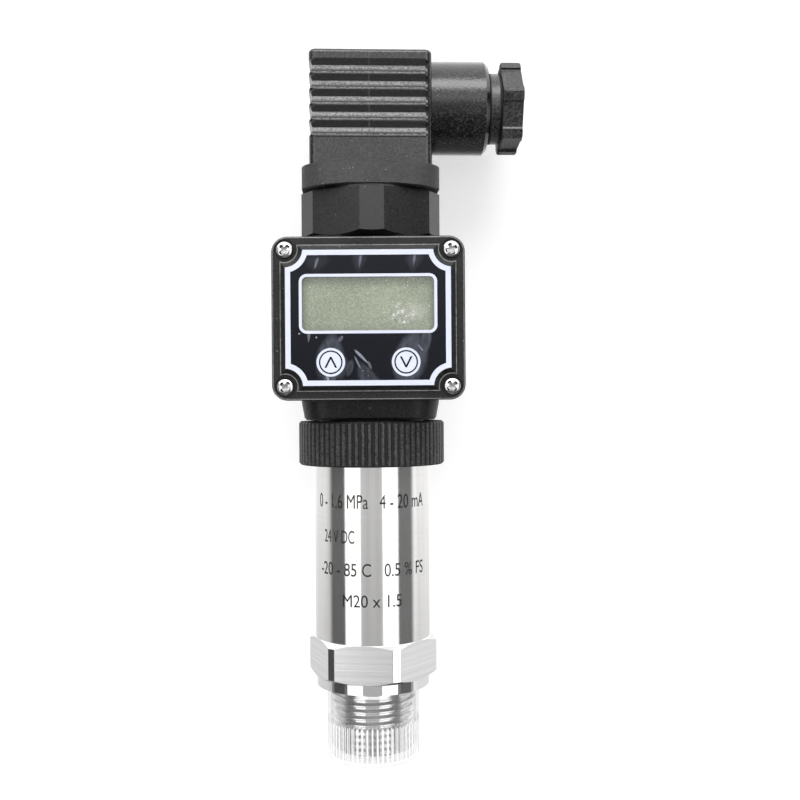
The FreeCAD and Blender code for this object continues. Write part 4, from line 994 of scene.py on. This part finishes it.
def makeStage(look):
    bm = bmesh.new()
    turn = Matrix.Rotation(math.radians(90), 4, "X")
    bmesh.ops.create_grid(bm, x_segments=1, y_segments=1, size=look["reach"],
                          matrix=Matrix.Translation((0, look["backdropY"], 0)) @ turn)
    backdrop = newPiece("backdrop", bm, stageWhite("backdropWhite", look, True), None)
    bm = bmesh.new()
    bmesh.ops.create_grid(bm, x_segments=1, y_segments=1, size=look["floorReach"],
                          matrix=Matrix.Translation((0, 0, look["floorZ"])))
    floor = newPiece("floor", bm, stageWhite("floorWhite", look, False), None)


makeStage(stageLook)

middle = Vector((0, 0, 66.7 * mm))  # what the lamps face
lampLooks = {
    "leftSoftbox": {"turn": -38, "rise": 4, "away": 0.75, "size": (0.44, 0.9), "power": 2.0},
    "rightSoftbox": {"turn": 38, "rise": 4, "away": 0.75, "size": (0.44, 0.9), "power": 2.0},
    "topSoftbox": {"turn": 0, "rise": 52, "away": 0.75, "size": (0.9, 0.30), "power": 5.0},
}
for name, look in lampLooks.items():
    light = bpy.data.lights.new(name, "AREA")
    light.shape = "RECTANGLE"
    light.size, light.size_y = look["size"]
    light.energy = look["power"]
    lamp = bpy.data.objects.new(name, light)
    turn, rise = math.radians(look["turn"]), math.radians(look["rise"])
    flat = math.cos(rise)
    towards = Vector((math.sin(turn) * flat, -math.cos(turn) * flat, math.sin(rise)))
    lamp.location = middle + towards * look["away"]
    lamp.rotation_euler = towards.to_track_quat("Z", "Y").to_euler()
    bpy.context.scene.collection.objects.link(lamp)

worldLook = {
    "fill": 0.20, "upGain": 1.9, "upStart": 0.01, "upReach": 0.20, "upBefore": -0.75,
    "sky": 1.8, "skyStart": 0.33, "skyReach": 0.22,
    "lean": 0.33, "leanFrom": 0.5, "leanLoss": 0.75, "leanGain": 4,
    # place and brightness, from the viewer's side to behind the object
    "room": [(0.0, 0.70), (0.04, 0.70), (0.07, 0.30), (0.20, 0.135), (0.46, 0.135), (0.54, 1.15)],
    # how the room darkens downwards: start, reach and loss
    "downSteps": [(-0.08, 0.15, 0.28), (-0.3, 0.3, 0.45)],
}


def makeWorld(look):
    world = bpy.data.worlds.new("studio")
    world.use_nodes = True
    bpy.context.scene.world = world
    paint = Paint("studio", world.node_tree)
    way = paint.sock("ShaderNodeTexCoord", out="Generated")
    split = paint.node("ShaderNodeSeparateXYZ", None, {"Vector": way})
    side = Sock(paint, split.outputs[0])
    ahead = Sock(paint, split.outputs[1])  # -1 towards the viewer's side, 1 behind the object
    up = Sock(paint, split.outputs[2])
    level = paint.distance(side, ahead)
    ahead = ahead / (1 + (level - 1) * (up < 0))
    stops = [(place, grey(glow)) for place, glow in look["room"]]
    room = paint.sock("ShaderNodeValToRGB", {"stops": stops}, {"Fac": ahead * 0.5 + 0.5})
    rays = paint.node("ShaderNodeLightPath")
    camera, glossy = (Sock(paint, rays.outputs[kind]) for kind in ("Is Camera Ray", "Is Glossy Ray"))
    rise = paint.clamp((up - look["upStart"]) / look["upReach"])
    fall = sum(paint.clamp((start - up) / reach) * loss for start, reach, loss in look["downSteps"])
    lean = look["lean"] * (1 - look["leanLoss"] * paint.clamp(ahead * look["leanGain"]))
    gain = (1 - fall) * (1 + side * lean * (abs(side) > look["leanFrom"]))
    gain = gain * (1 + rise * look["upGain"] * (ahead < look["upBefore"]))
    lit = paint.sock("ShaderNodeVectorMath", {"operation": "SCALE"}, {0: room, "Scale": gain})
    sky = paint.clamp((up - look["skyStart"]) / look["skyReach"])
    lit = paint.mixColour(sky, lit, grey(look["sky"]))
    colour = paint.mixColour(glossy, grey(look["fill"]), lit)
    colour = paint.mixColour(camera, colour, grey(1.0))
    paint.finish(paint.sock("ShaderNodeBackground", None, {"Color": colour, "Strength": 1.0}),
                 "ShaderNodeOutputWorld")


makeWorld(worldLook)

cameraLook = {"x": 6.8 * mm, "distance": 252 * mm, "z": 66.7 * mm, "lens": 47.7, "roll": -0.4}
cameraData = bpy.data.cameras.new("camera")
cameraData.lens = cameraLook["lens"]
cameraData.sensor_width = 36
camera = bpy.data.objects.new("camera", cameraData)
camera.location = (cameraLook["x"], -cameraLook["distance"], cameraLook["z"])
camera.rotation_euler = (math.radians(90), 0, 0)
camera.rotation_mode = "XYZ"
camera.rotation_euler.rotate_axis("Z", math.radians(cameraLook["roll"]))
bpy.context.scene.collection.objects.link(camera)
bpy.context.scene.camera = camera
bpy.context.scene.view_settings.view_transform = "Standard"
print("stage, lights and camera set")
